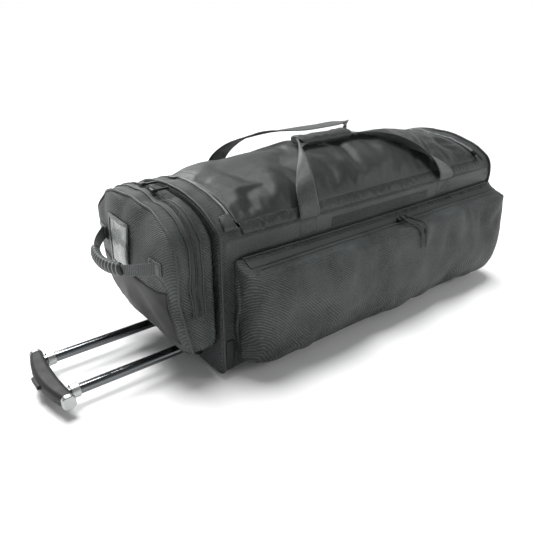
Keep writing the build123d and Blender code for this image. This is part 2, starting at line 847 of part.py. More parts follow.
# End handle: a loop that stands out from the face, with its strap's ends on the hinge line.
loop_angle = radians(end_handle_droop)
loop_plane = Plane(
    origin=(pocket_face_x - end_handle_stand_off, 0, end_handle_height),
    x_dir=(0, 1, 0),
    z_dir=(-sin(loop_angle), 0, cos(loop_angle)),
)
loop_radius = (end_handle_spread**2 + end_handle_reach**2) / (2 * end_handle_reach)
loop_centre = (0, end_handle_reach - loop_radius)
loop_half_angle = degrees(atan2(end_handle_spread, loop_radius - end_handle_reach)) - 2
with BuildPart() as end_handle_grip:
    with BuildSketch(loop_plane.offset(-end_grip_height / 2)):
        with BuildLine():
            CenterArc(loop_centre, loop_radius, 90 - end_grip_half_angle, 2 * end_grip_half_angle)
        trace(line_width=2 * end_grip_radius)
    extrude(amount=end_grip_height)
    fillet(end_handle_grip.edges(), end_grip_radius * 0.6)
save(end_handle_grip, "end_handle_grip")
strap_arc = loop_half_angle - end_grip_half_angle - 0.3
with BuildPart() as end_handle_straps:
    for start_angle in (90 + end_grip_half_angle + 0.3, 90 - loop_half_angle):
        with BuildSketch(loop_plane.offset(-end_handle_strap_width / 2)):
            with BuildLine():
                CenterArc(loop_centre, loop_radius, start_angle, strap_arc)
            trace(line_width=end_handle_strap_thickness)
        extrude(amount=end_handle_strap_width)
save(end_handle_straps, "end_handle_straps")

# Pull handle: a pair of inner tubes with bright collars at the grip.
tube_centres = ((-tube_spacing / 2, tube_height), (tube_spacing / 2, tube_height))
inner_bore = inner_tube_diameter - 2 * inner_tube_wall
tube_start = grip_inner_x - tube_socket_depth
with BuildPart() as inner_tubes:
    with BuildSketch(tube_plane.offset(tube_start)):
        with Locations(*tube_centres):
            Circle(inner_tube_diameter / 2)
            Circle(inner_bore / 2, mode=Mode.SUBTRACT)
    extrude(amount=inner_tube_length)
save(inner_tubes, "inner_tubes")
with BuildPart() as tube_collars:
    with BuildSketch(tube_plane.offset(grip_inner_x + seam_gap)):
        with Locations(*tube_centres):
            Circle(collar_diameter / 2)
            Circle(inner_tube_diameter / 2, mode=Mode.SUBTRACT)
    extrude(amount=collar_length)
    fillet(tube_collars.edges().group_by(Axis.X)[-1].group_by(SortBy.RADIUS)[-1], 1.2)
save(tube_collars, "tube_collars")

# Latch plugs: moulded ends that keep the inner tubes central in the outer ones.
tube_stop = tube_start + inner_tube_length
with BuildPart() as latch_plugs:
    with BuildSketch(tube_plane.offset(tube_stop)):
        with Locations(*tube_centres):
            Circle(inner_bore / 2 - tube_fit)
    extrude(amount=-latch_plug_length)
    with BuildSketch(tube_plane.offset(tube_stop)):
        with Locations(*tube_centres):
            Circle(outer_tube_bore / 2 - 4 * tube_fit)
    extrude(amount=latch_plug_length / 3)
save(latch_plugs, "latch_plugs")

# Grip: two moulded halves that close round the tubes' ends, split at the tubes' height.
half_span = grip_span / 2
grip_outer_x = grip_inner_x - grip_depth + grip_bow
cross_bar_x = tube_start - cross_bar_depth - 3 * button_travel / 2
cavity_start = cross_bar_x - seam_gap
cavity_end = tube_start + 2 * seam_gap
button_front_x = grip_outer_x - grip_bow - button_proud


def grip_half(side):
    """Builds the upper (1) or lower (-1) half of the grip."""
    with BuildPart() as half:
        with BuildSketch(Plane.XY.offset(tube_height)):
            with BuildLine():
                inner = ThreePointArc(
                    (grip_inner_x, -half_span),
                    (grip_inner_x - grip_bow / 2.5, 0),
                    (grip_inner_x, half_span),
                )
                outer = ThreePointArc(
                    (grip_outer_x, -half_span),
                    (grip_outer_x - grip_bow, 0),
                    (grip_outer_x, half_span),
                )
                Line(inner @ 0, outer @ 0)
                Line(inner @ 1, outer @ 1)
            make_face()
        extrude(amount=side * grip_height / 2)
        outer_face = half.faces().filter_by(Axis.Z).sort_by(Axis.Z)[-1 if side > 0 else 0]
        rim = outer_face.edges().filter_by(GeomType.CIRCLE)
        fillet(rim, grip_height / 3)
        with BuildSketch(tube_plane.offset(grip_inner_x + 1)):
            with Locations(*tube_centres):
                Circle(inner_tube_diameter / 2 + tube_fit)
        extrude(amount=-tube_socket_depth - 1 - seam_gap, mode=Mode.SUBTRACT)
        with BuildSketch(Plane.XY.offset(tube_height)):
            with Locations(((cavity_start + cavity_end) / 2, 0)):
                Rectangle(cavity_end - cavity_start, tube_spacing + 2 * rod_diameter)
            with Locations(((button_front_x + cavity_end) / 2, 0)):
                Rectangle(cavity_end - button_front_x, button_width + 2 * button_fit)
        extrude(amount=side * (button_height / 2 + button_fit), mode=Mode.SUBTRACT)
        with BuildSketch(tube_plane.offset(cavity_end - seam_gap)):
            with Locations((0, tube_height)):
                Circle(spring_diameter / 2 + seam_gap)
        extrude(amount=spring_pocket_depth, mode=Mode.SUBTRACT)
        with BuildSketch(Plane.XY.offset(tube_height - grip_height)):
            with Locations(*screw_places):
                Circle(screw_diameter / 2)
        extrude(amount=grip_height + screw_grip, mode=Mode.SUBTRACT)
        with BuildSketch(Plane.XY.offset(tube_height - grip_height)):
            with Locations(*screw_places):
                Circle(screw_diameter + seam_gap)
        extrude(amount=grip_height / 2 + 2 * screw_head, mode=Mode.SUBTRACT)
    return half


screw_x = grip_inner_x - grip_depth / 3
screw_places = ((screw_x, -tube_spacing / 4), (screw_x, tube_spacing / 4))
grip_upper = grip_half(1)
save(grip_upper, "grip_upper")
grip_lower = grip_half(-1)
save(grip_lower, "grip_lower")

# Grip screws: put in from below.
head_bottom = tube_height - grip_height / 2 + screw_head
with BuildPart() as grip_screws:
    with BuildSketch(Plane.XY.offset(head_bottom - screw_head / 2)):
        with Locations(*screw_places):
            Circle(screw_diameter)
    extrude(amount=screw_head / 2 + screw_head)
    with BuildSketch(Plane.XY.offset(head_bottom)):
        with Locations(*screw_places):
            Circle(screw_diameter / 2)
    extrude(amount=tube_height + screw_grip - head_bottom)
save(grip_screws, "grip_screws")

# Grip end caps: plated caps that finish the grip's two ends.
with BuildPart() as grip_end_caps:
    for side in (-1, 1):
        with BuildSketch(Plane.XZ.offset(-side * (half_span + seam_gap / 2))):
            with Locations(((grip_inner_x + grip_outer_x) / 2, tube_height)):
                RectangleRounded(grip_inner_x - grip_outer_x, grip_height, grip_height / 3)
        extrude(amount=-side * grip_cap_length)
    fillet(grip_end_caps.faces().group_by(Axis.Y)[0].edges(), grip_cap_edge_radius)
    fillet(grip_end_caps.faces().group_by(Axis.Y)[-1].edges(), grip_cap_edge_radius)
save(grip_end_caps, "grip_end_caps")

# Release button: pressed towards the bag, it pushes the latch rods down the tubes.
with BuildPart() as release_button:
    with BuildSketch(tube_plane.offset(button_front_x)):
        with Locations((0, tube_height)):
            RectangleRounded(button_width, button_height, button_height / 3)
    extrude(amount=cross_bar_x - button_front_x)
    fillet(release_button.faces().sort_by(Axis.X)[0].edges(), button_edge_radius)
save(release_button, "release_button")
with BuildPart() as latch_rods:
    with BuildSketch(tube_plane.offset(cross_bar_x)):
        with Locations((0, tube_height)):
            Rectangle(tube_spacing + rod_diameter, rod_diameter)
    extrude(amount=cross_bar_depth)
    with BuildSketch(tube_plane.offset(cross_bar_x + cross_bar_depth / 2)):
        with Locations(*tube_centres):
            Circle(rod_diameter / 2)
    extrude(amount=rod_length)
save(latch_rods, "latch_rods")

# Button spring: it stands behind the cross bar, drawn at its pressed length.
spring_start = cross_bar_x + cross_bar_depth + button_travel + seam_gap
spring_stop = cavity_end - seam_gap + spring_pocket_depth - seam_gap
with BuildPart() as button_spring:
    with BuildSketch(tube_plane.offset(spring_start)):
        with Locations((0, tube_height)):
            Circle(spring_diameter / 2)
            Circle(spring_diameter / 2 - spring_wire, mode=Mode.SUBTRACT)
    extrude(amount=spring_stop - spring_start)
save(button_spring, "button_spring")

# Zipper sliders: cast bodies that straddle a zipper's coil.
slider_lift = zipper_thickness + slider_clearance


def slider_on(plane, length):
    """Builds a slider whose length runs along the given plane's X direction."""
    with BuildPart() as slider:
        with BuildSketch(plane.offset(slider_lift)):
            RectangleRounded(length, slider_width, 3)
        extrude(amount=slider_height)
        fillet(slider.edges().group_by(Axis(plane.origin, plane.z_dir))[-1], 1.5)
    return slider


# Side pocket sliders and their pulls: two that meet, with cords that hang over the pocket's edge.
slider_step = slider_length + slider_pair_gap
for slider_x, slider_name in ((side_slider_x, "left"), (side_slider_x + slider_step, "right")):
    slider_origin = zipper_plane.from_local_coords((slider_x, 0, 0))
    side_plane = Plane(origin=slider_origin, x_dir=(1, 0, 0), z_dir=zipper_plane.z_dir)
    side_slider = slider_on(side_plane, slider_length)
    save(side_slider, f"side_slider_{slider_name}")
    lean = sin(radians(pull_lean))
    reach = cos(radians(pull_lean))
    pull_plane = Plane(origin=(slider_x, zipper_y, 0), x_dir=(lean, -reach, 0), z_dir=(-reach, -lean, 0))
    pull_start = (slider_width / 2 + pull_width / 2 + slider_clearance) / reach
    pull_turn = (side_pocket_depth - side_zipper_offset + pull_lift) / reach
    pull_high = zipper_z + pull_lift
    with BuildPart() as side_pull:
        with BuildSketch(pull_plane.offset(-pull_width / 2)):
            with BuildLine():
                FilletPolyline(
                    (pull_start, pull_high),
                    (pull_turn, pull_high - (pull_turn - pull_start) * pocket_slope * reach),
                    (pull_turn, pull_tip_height),
                    radius=18,
                )
            trace(line_width=pull_thickness)
        extrude(amount=pull_width)
        with BuildSketch(pull_plane.offset(-pull_tip_width / 2)):
            with Locations((pull_turn, pull_tip_height - pull_tip_length / 2 - seam_gap / 2)):
                RectangleRounded(pull_tip_thickness, pull_tip_length, 1.5)
        extrude(amount=pull_tip_width)
    save(side_pull, f"side_pull_{slider_name}")

# End pocket sliders: a pair near the top of the arch, each with its cord pull laid along the gusset.
arch_radius = (end_pocket_width / 2) ** 2 / (end_crown_height - shoulder_height)
for slider_angle, slider_name in ((end_slider_angle, "near"), (-end_slider_angle, "far")):
    turn = radians(slider_angle)
    outward = Vector(0, -sin(turn), cos(turn))
    seat = Vector(zipper_x, 0, end_crown_height - arch_radius) + outward * (arch_radius + arch_lift)
    end_plane = Plane(origin=seat, x_dir=(0, cos(turn), sin(turn)), z_dir=outward)
    with BuildPart() as end_slider:
        with BuildSketch(end_plane.offset(slider_lift)):
            RectangleRounded(slider_length, slider_width, 3)
        extrude(amount=slider_height)
        fillet(end_slider.faces().sort_by(Axis.Z)[-1].edges(), 1.5)
        with BuildSketch(end_plane.offset(slider_lift + seam_gap)):
            with Locations((0, -end_pull_length / 2)):
                RectangleRounded(pull_width, end_pull_length, 1.5)
        extrude(amount=pull_thickness)
    save(end_slider, f"end_slider_{slider_name}")

# Lid slider: at the near end of the lid's right zipper run, riding on the lid's edge.
ride_angle = radians(lid_slider_angle)
end_rise = end_crown_height - shoulder_height
ride_normal = Vector(0, -cos(ride_angle) / half_width, sin(ride_angle) / end_rise).normalized()
ride_radius = (
    (half_width * sin(ride_angle)) ** 2 + (end_rise * cos(ride_angle)) ** 2
) ** 1.5 / (half_width * end_rise)
ride_point = Vector(
    lid_half_length - slider_width / 2,
    -half_width * cos(ride_angle),
    shoulder_height + end_rise * sin(ride_angle),
)
ride_centre = ride_point - ride_normal * ride_radius
rest_turn = radians(lid_slider_rest)
rest_normal = Vector(
    0,
    ride_normal.Y * cos(rest_turn) - ride_normal.Z * sin(rest_turn),
    ride_normal.Y * sin(rest_turn) + ride_normal.Z * cos(rest_turn),
)
ride_plane = Plane(
    origin=ride_centre + rest_normal * (ride_radius + lid_slider_lift),
    x_dir=(0, rest_normal.Z, -rest_normal.Y),
    z_dir=rest_normal,
)
lid_slider = slider_on(ride_plane, slider_length)
save(lid_slider, "lid_slider")
with BuildPart() as lid_pull:
    with BuildSketch(ride_plane.offset(slider_lift + slider_height + seam_gap)):
        with Locations((-end_pull_length / 2, 0)):
            RectangleRounded(end_pull_length, pull_width, 1.5)
    extrude(amount=pull_thickness)
save(lid_pull, "lid_pull")
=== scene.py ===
from math import acos, cos, pi, radians, sin, sqrt

import bmesh
import bpy
import numpy as np
from mathutils import Matrix, Vector, noise
from mathutils.bvhtree import BVHTree


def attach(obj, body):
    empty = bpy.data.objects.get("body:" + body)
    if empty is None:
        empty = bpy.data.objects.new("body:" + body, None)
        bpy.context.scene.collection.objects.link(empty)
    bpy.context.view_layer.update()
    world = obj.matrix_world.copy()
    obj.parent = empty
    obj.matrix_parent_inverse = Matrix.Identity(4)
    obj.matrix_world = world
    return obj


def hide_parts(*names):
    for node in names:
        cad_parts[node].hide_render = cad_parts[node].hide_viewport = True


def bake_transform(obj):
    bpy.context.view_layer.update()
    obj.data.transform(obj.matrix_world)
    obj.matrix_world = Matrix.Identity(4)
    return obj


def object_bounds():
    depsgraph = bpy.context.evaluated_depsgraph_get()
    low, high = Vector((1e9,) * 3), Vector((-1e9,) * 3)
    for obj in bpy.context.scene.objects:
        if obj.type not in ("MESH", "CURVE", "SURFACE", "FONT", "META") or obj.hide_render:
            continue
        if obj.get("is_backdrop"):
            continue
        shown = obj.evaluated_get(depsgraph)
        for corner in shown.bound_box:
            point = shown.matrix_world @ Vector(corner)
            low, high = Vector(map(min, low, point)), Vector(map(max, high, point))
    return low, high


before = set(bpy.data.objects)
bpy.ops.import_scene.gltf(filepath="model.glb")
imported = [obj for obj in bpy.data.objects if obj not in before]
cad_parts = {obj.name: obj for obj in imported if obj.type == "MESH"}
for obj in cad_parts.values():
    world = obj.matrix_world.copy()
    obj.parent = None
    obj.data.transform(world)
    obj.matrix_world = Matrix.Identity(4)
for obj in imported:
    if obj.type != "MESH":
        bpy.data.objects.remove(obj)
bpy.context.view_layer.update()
scene = bpy.context.scene

# Main compartment: a shell of woven nylon with foam behind it, cut from one wrap and two ends.
# It is sewn inside out and turned, so its walls swell between their seams. The lid's opening,
# the wheels' corners and the tubes' slot are left open.
MM = 0.001
ballistic_dark = "#020303"
ballistic_light = "#3e4443"


def linear(colour):
    """Turns an sRGB hex colour into linear red, green, blue and alpha."""
    parts = [int(colour[i : i + 2], 16) / 255 for i in (1, 3, 5)]
    return (*[p / 12.92 if p <= 0.04045 else ((p + 0.055) / 1.055) ** 2.4 for p in parts], 1.0)


def add_node(tree, kind, links=(), values=(), **settings):
    """Adds a node with its settings, its sockets' values and the links into them."""
    node = tree.nodes.new(kind)
    for name, value in settings.items():
        setattr(node, name, value)
    for socket, value in dict(values).items():
        node.inputs[socket].default_value = value
    for socket, source in dict(links).items():
        tree.links.new(source, node.inputs[socket])
    return node


def new_material(name):
    """Starts a material and returns it with its empty node tree."""
    material = bpy.data.materials.new(name)
    material.use_nodes = True
    material.node_tree.nodes.clear()
    return material, material.node_tree


def woven(name, dark, light, thread, roughness=0.72, sheen=0.25, relief=0.5, direction="DIAGONAL"):
    """Builds a woven cloth: rows of thread, a grain across them and slow changes of shade.

    The threads are drawn as coarse as they need to be to show, so thread is in millimetres."""
    material, tree = new_material(name)
    place = add_node(tree, "ShaderNodeTexCoord").outputs["Object"]
    band = 0.444 if direction == "DIAGONAL" else 0.314
    rows = add_node(
        tree, "ShaderNodeTexWave", {"Vector": place},
        {"Scale": band / (thread * MM), "Distortion": 2.6, "Detail": 2.0, "Detail Scale": 1.8},
        bands_direction=direction,
    )
    grain = add_node(
        tree, "ShaderNodeTexNoise", {"Vector": place},
        {"Scale": 1 / (1.6 * thread * MM), "Detail": 3.0, "Roughness": 0.7},
    )
    shade = add_node(tree, "ShaderNodeTexNoise", {"Vector": place}, {"Scale": 9.0, "Detail": 3.0})
    mixed = add_node(
        tree, "ShaderNodeMath", {0: rows.outputs["Fac"], 1: grain.outputs["Fac"]}, operation="MULTIPLY_ADD"
    )
    tree.links.new(shade.outputs["Fac"], mixed.inputs[2])
    ramp = add_node(tree, "ShaderNodeValToRGB", {"Fac": mixed.outputs[0]})
    ramp.color_ramp.elements[0].position = 0.5
    ramp.color_ramp.elements[0].color = linear(dark)
    ramp.color_ramp.elements[1].position = 1.0
    ramp.color_ramp.elements[1].color = linear(light)
    bump = add_node(
        tree, "ShaderNodeBump", {"Height": mixed.outputs[0]},
        {"Strength": relief, "Distance": 0.35 * thread * MM},
    )
    shader = add_node(
        tree, "ShaderNodeBsdfPrincipled",
        {"Base Color": ramp.outputs["Color"], "Normal": bump.outputs["Normal"]},
        {
            "Roughness": roughness, "Sheen Weight": sheen, "Sheen Roughness": 0.4,
            "Specular IOR Level": 0.5,
        },
    )
    add_node(tree, "ShaderNodeOutputMaterial", {"Surface": shader.outputs["BSDF"]})
    return material


def through(a, b, c, d, t):
    """Returns the place a share of the way from b to c, on the curve through all four points."""
    return 0.5 * (2 * b + (c - a) * t + (2 * a - 5 * b + 4 * c - d) * t**2 + (3 * b - a - 3 * c + d) * t**3)


def new_piece(name, points, faces, material, closed=True):
    """Makes a smooth mesh piece from points in millimetres, with its faces outwards."""
    mesh = bpy.data.meshes.new(name)
    mesh.from_pydata([tuple(p) for p in np.asarray(points) * MM], [], faces)
    mesh.materials.append(material)
    if closed:
        build = bmesh.new()
        build.from_mesh(mesh)
        bmesh.ops.remove_doubles(build, verts=build.verts, dist=1e-6)
        bmesh.ops.recalc_face_normals(build, faces=build.faces)
        build.to_mesh(mesh)
        build.free()
    mesh.shade_smooth()
    piece = bpy.data.objects.new(name, mesh)
    scene.collection.objects.link(piece)
    return piece


def grid_faces(rows, columns, loop=False):
    """Returns the quads of a grid of points, row by row. A loop's last column meets its first."""
    last = columns if loop else columns - 1
    return [
        (
            i * columns + j,
            i * columns + (j + 1) % columns,
            (i + 1) * columns + (j + 1) % columns,
            (i + 1) * columns + j,
        )
        for i in range(rows - 1)
        for j in range(last)
    ]


def read_points(piece):
    """Returns a piece's points in millimetres, and its normals."""
    mesh = piece.data
    count = len(mesh.vertices)
    points, normals = np.zeros(count * 3, np.float32), np.zeros(count * 3, np.float32)
    mesh.vertices.foreach_get("co", points)
    mesh.vertex_normals.foreach_get("vector", normals)
    return points.reshape(-1, 3) / MM, normals.reshape(-1, 3)


def write_points(piece, points):
    """Moves a piece's points to places in millimetres."""
    piece.data.vertices.foreach_set("co", (points * MM).astype(np.float32).ravel())
    piece.data.update()


def crumple(piece, folds=(), rumples=(), held=None):
    """Raises folds, each from one point to another, and rumples, each a size, a height and a seed."""
    points, normals = read_points(piece)
    lift = np.zeros(len(points))
    for start, end, width, height in folds:
        start, end = np.array(start, float), np.array(end, float)
        run = end - start
        along = np.clip(((points - start) @ run) / (run @ run), 0, 1)
        gap = np.linalg.norm(points - start - along[:, None] * run, axis=1)
        lift += height * np.exp(-((gap / width) ** 2)) * np.sin(pi * along) ** 0.6
    for size, height, seed in rumples:
        lift += height * np.array([noise.noise(Vector(p) / size + Vector((seed, 0, 0))) for p in points])
    if held is not None:
        lift *= 1 - held
    write_points(piece, points + normals * lift[:, None])


def settle(piece, held, pressure, growth, limit):
    """Swells a sewn panel with Blender's cloth while its seams are held, and caps each point's move."""
    start, _ = read_points(piece)
    group = piece.vertex_groups.new(name="sewn")
    for index, weight in enumerate(held):
        if weight > 0:
            group.add([index], float(weight), "REPLACE")
    cloth = piece.modifiers.new("cloth", "CLOTH")
    settings = cloth.settings
    settings.quality = 6
    settings.use_pressure = True
    settings.uniform_pressure_force = pressure
    settings.shrink_min = -growth
    settings.vertex_group_mass = "sewn"
    settings.bending_stiffness = 2.0
    settings.effector_weights.gravity = 0
    for step in range(1, 21):
        scene.frame_set(step)
    moved = piece.evaluated_get(bpy.context.evaluated_depsgraph_get()).data
    swollen = np.zeros(len(moved.vertices) * 3, np.float32)
    moved.vertices.foreach_get("co", swollen)
    piece.modifiers.remove(cloth)
    piece.vertex_groups.remove(group)
    step = swollen.reshape(-1, 3) / MM - start
    size = np.maximum(np.linalg.norm(step, axis=1), 1e-6)
    step *= (limit * np.tanh(size / limit) / size)[:, None]
    scene.frame_set(1)
    write_points(piece, start + np.nan_to_num(step))


def bake(piece):
    """Turns a piece's modifiers into its mesh."""
    mesh = bpy.data.meshes.new_from_object(piece.evaluated_get(bpy.context.evaluated_depsgraph_get()))
    old = piece.data
    mesh.name = piece.name
    piece.modifiers.clear()
    piece.data = mesh
    bpy.data.meshes.remove(old)
    return piece


def thicken(piece, thickness, levels=1, offset=-1):
    """Gives a sheet its thickness, smooths it and bakes both."""
    if thickness:
        solidify = piece.modifiers.new("wall", "SOLIDIFY")
        solidify.thickness = thickness * MM
        solidify.offset = offset
    if levels:
        smooth = piece.modifiers.new("smooth", "SUBSURF")
        smooth.levels = smooth.render_levels = levels
    return bake(piece)


def stations(*stops):
    """Returns places from stop to stop, each stop given with the count of steps that lead to it."""
    places = [stops[0]]
    for stop, count in stops[1:]:
        places += list(np.linspace(places[-1], stop, count + 1)[1:])
    return np.array(places)


half_length, half_width = 410.0, 161.5
shoulder, end_crown = 277.0, 345.0
bottom, corner = 12.0, 16.0
opening_x, opening_y = 366.0, 153.0
opening_angle = acos(opening_y / half_width)
house_x, house_y, house_z = 319.7, 97.7, 82.3
wall_steps = [(house_z, 6), (180.0, 10), (244.0, 6), (shoulder, 4)]


def side_run(side):
    """Returns the section's points up one wall, from the bottom corner to the lid's opening."""
    turn = np.linspace(0, pi / 2, 5)
    run = [(side * (half_width - corner + corner * sin(t)), bottom + corner - corner * cos(t)) for t in turn]
    run += [(side * half_width, z) for z in stations(bottom + corner, *wall_steps)[1:]]
    for t in np.linspace(0, opening_angle, 4)[1:]:
        run.append((side * half_width * cos(t), shoulder + (end_crown - shoulder) * sin(t)))
    return run


near_run, far_run = side_run(-1), side_run(1)
inner = half_width - corner
base_run = [(y, bottom) for y in stations(-inner, (-house_y, 4), (house_y, 16), (inner, 4))]
crown_run = [
    (half_width * cos(t), shoulder + (end_crown - shoulder) * sin(t))
    for t in np.linspace(opening_angle, pi - opening_angle, len(base_run))
]
section = near_run[::-1] + base_run[1:-1] + far_run + crown_run[1:-1]
section_x = stations(-half_length, (-opening_x, 5), (house_x, 67), (opening_x, 5), (half_length, 5))
points = [(x, y, z) for x in section_x for y, z in section]
around = len(section)
near_count, base_count, far_count = len(near_run), len(base_run), len(far_run)
crown_start = near_count + base_count - 2 + far_count - 1
faces = []
for face in grid_faces(len(section_x), around, loop=True):
    x, y, z = np.mean([points[k] for k in face], axis=0)
    over_lid = abs(x) < opening_x and face[0] % around >= crown_start
    in_housing = x > house_x and abs(y) > house_y and z < house_z
    if not over_lid and not in_housing:
        faces.append(face)
for row, side in ((0, -1), (len(section_x) - 1, 1)):
    low = [row * around + near_count - 1 + k for k in range(base_count)]
    left = [row * around + near_count - 1 - k for k in range(near_count)]
    right = [row * around + near_count + base_count - 2 + k for k in range(far_count)]
    top = [row * around] + [row * around + around - 1 - k for k in range(base_count - 2)] + [right[-1]]
    cap = [[None] * base_count for _ in range(near_count)]
    for i in range(near_count):
        for j in range(base_count):
            if i == 0:
                cap[i][j] = low[j]
            elif i == near_count - 1:
                cap[i][j] = top[j]
            elif j == 0:
                cap[i][j] = left[i]
            elif j == base_count - 1:
                cap[i][j] = right[i]
            else:
                u, v = j / (base_count - 1), i / (near_count - 1)
                rim = (low[j], top[j], left[i], right[i], low[0], low[-1], top[0], top[-1])
                p = {k: np.array(points[k]) for k in rim}
                place = (1 - v) * p[low[j]] + v * p[top[j]] + (1 - u) * p[left[i]] + u * p[right[i]]
                place = place - (1 - u) * (1 - v) * p[low[0]] - u * (1 - v) * p[low[-1]]
                place = place - (1 - u) * v * p[top[0]] - u * v * p[top[-1]]
                cap[i][j] = len(points)
                points.append(tuple(place))
    for i in range(near_count - 1):
        for j in range(base_count - 1):
            face = (cap[i][j], cap[i][j + 1], cap[i + 1][j + 1], cap[i + 1][j])
            spots = np.array([points[k] for k in face])
            in_slot = side < 0 and np.all(np.abs(spots[:, 1]) < 84) and np.all(spots[:, 2] < 50)
            middle = spots.mean(axis=0)
            in_housing = side > 0 and abs(middle[1]) > house_y and middle[2] < house_z
            if not in_slot and not in_housing:
                faces.append(face if side > 0 else face[::-1])
# Coarse thread that shows as a hatch: the eye reads the walls as heavy, hard-wearing nylon.
ballistic_nylon = woven(
    "ballistic_nylon_weave", ballistic_dark, ballistic_light, 4.0, roughness=0.58, sheen=0.03, relief=1.0
)
main_compartment = new_piece("main_compartment", points, faces, ballistic_nylon)
points, _ = read_points(main_compartment)
out_x, height = np.abs(points[:, 0]), points[:, 2]
on_end_strip = (out_x > opening_x + 6) & (out_x < half_length - 4) & (height > 250)
on_far_wall = (points[:, 1] > half_width - 1) & (out_x < 350) & (height < 238) & (height > 100)
held = np.where(on_end_strip | on_far_wall, 0.0, 1.0)
crumple(main_compartment, rumples=((60, 5, 1), (24, 2.5, 2)), held=held)
settle(main_compartment, held, pressure=1.5, growth=0.02, limit=5)
thicken(main_compartment, 3.5)
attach(main_compartment, "bag")
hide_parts("main_shell")

# Base: a floor board, skid rails, wheel housings, bezel, kick plate and corner guards. The moulded
# parts are black polypropylene with a fine spark-eroded grain, and stay as the frame has them.


def hard(name, colour, metallic, roughness, grain, relief, wear=0.25, coat=0.0):
    """Builds a moulded or metal finish: one colour, faint marks and a grain in millimetres."""
    material, tree = new_material(name)
    place = add_node(tree, "ShaderNodeTexCoord").outputs["Object"]
    marks = add_node(tree, "ShaderNodeTexNoise", {"Vector": place}, {"Scale": 40.0, "Detail": 5.0})
    fine = add_node(
        tree, "ShaderNodeTexNoise", {"Vector": place}, {"Scale": 1 / (grain * MM), "Detail": 2.0}
    )
    ramp = add_node(tree, "ShaderNodeValToRGB", {"Fac": marks.outputs["Fac"]})
    base = linear(colour)
    ramp.color_ramp.elements[0].color = (*[c * (1 - wear) for c in base[:3]], 1.0)
    ramp.color_ramp.elements[1].color = (*[min(1.0, c * (1 + wear)) for c in base[:3]], 1.0)
    rough = add_node(
        tree, "ShaderNodeMapRange", {"Value": marks.outputs["Fac"]},
        {"To Min": roughness * 0.8, "To Max": min(1.0, roughness * 1.2)},
    )
    bump = add_node(
        tree, "ShaderNodeBump", {"Height": fine.outputs["Fac"]},
        {"Strength": relief, "Distance": 0.3 * grain * MM},
    )
    looks = {
        "Base Color": ramp.outputs["Color"], "Roughness": rough.outputs[0], "Normal": bump.outputs["Normal"],
    }
    shader = add_node(tree, "ShaderNodeBsdfPrincipled", looks, {"Metallic": metallic, "Coat Weight": coat})
    add_node(tree, "ShaderNodeOutputMaterial", {"Surface": shader.outputs["BSDF"]})
    return material


def finish_nodes(material, *names):
    """Gives CAD nodes their finish."""
    for name in names:
        for material_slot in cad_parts[name].material_slots:
            material_slot.material = material


def lay_on(target, grid, lift):
    """Moves points onto a piece's surface, and then off it by the lift."""
    surface = BVHTree.FromObject(target, bpy.context.evaluated_depsgraph_get())
    laid, ups = [], []
    for place in np.asarray(grid, float).reshape(-1, 3):
        spot, up, _, _ = surface.find_nearest(Vector(place) * MM)
        laid.append(np.array(spot) / MM + np.array(up) * lift)
        ups.append(np.array(up))
    return np.array(laid), np.array(ups)


def patch(name, grid, thickness, material, body, levels=1):
    """Makes a closed strip or patch from rows of points that lie on its underside."""
    grid = np.asarray(grid, float)
    rows, columns = grid.shape[:2]
    piece = new_piece(name, grid.reshape(-1, 3), grid_faces(rows, columns), material, closed=False)
    thicken(piece, thickness, levels, offset=1)
    build = bmesh.new()
    build.from_mesh(piece.data)
    bmesh.ops.recalc_face_normals(build, faces=build.faces)
    build.to_mesh(piece.data)
    build.free()
    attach(piece, body)
    return piece


# A fine grain on black: the base reads as tough moulded plastic.
moulded_plastic = hard("moulded_black_polypropylene", "#141616", 0.0, 0.42, 0.9, 0.15)
# Matt dark fibre, seen only through the open lid.
black_board = hard("black_fibre_board", "#262828", 0.0, 0.8, 1.2, 0.3)
# Dull black, so that the tyres part from their glossier hubs.
tyre_rubber = hard("moulded_tyre_rubber", "#1a1a1a", 0.0, 0.7, 1.0, 0.3)
# Small bright points at the rivets, axles and screws.
plain_steel = hard("turned_steel", "#a0a3a3", 1.0, 0.3, 0.8, 0.1)
finish_nodes(
    moulded_plastic, "tube_end_block", "tube_bezel", "skid_rails", "wheel_housings", "kick_plate",
    "latch_plugs", "hub_near", "hub_far",
)
finish_nodes(black_board, "floor_board", "false_floor")
finish_nodes(tyre_rubber, "tyre_near", "tyre_far")
finish_nodes(
    plain_steel, "axles", "kick_plate_rivets", "bearings_near", "bearings_far", "grip_screws",
    "button_spring", "latch_rods",
)
# Nearly flat and black: the wear panels read as rubberised cloth beside the weave. Their near-black is
# partly painted shade, darkened to stand for the shade low at the handle end, under the end pocket's
# overhang.
coated_cloth_painted_shade = woven("coated_cloth_painted_shade", "#020202", "#0a0b0b", 1.6, roughness=0.6, sheen=0.0, relief=0.15)


def corner_path(side):
    """Returns the section's points round one lower corner, in equal steps."""
    flat = [(side * y, 8.0) for y in np.linspace(half_width - 48, inner, 5)]
    turn = [
        (side * (inner + (corner + 4) * sin(t)), bottom + corner - (corner + 4) * cos(t))
        for t in np.linspace(0, pi / 2, 6)[1:]
    ]
    wall = [(side * (half_width + 4), z) for z in np.linspace(28, 84, 8)[1:]]
    return flat + turn + wall


# The corner guards take the same near-black coated cloth, partly painted shade low at the handle end.
for side, side_name in ((-1, "near"), (1, "far")):
    grid = [[(x, y, z) for x in np.linspace(-403, -384, 4)] for y, z in corner_path(side)]
    laid, _ = lay_on(main_compartment, grid, 0.4)
    rows = laid.reshape(len(grid), 4, 3)
    if side > 0:
        rows = rows[::-1]
    guard = patch(f"corner_guard_{side_name}", rows, 1.6, coated_cloth_painted_shade, "bag")
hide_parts("corner_guards")

# Welts: cord piping bound in nylon tape round both ends of the main compartment, with the thread
# that sews it showing beside it.


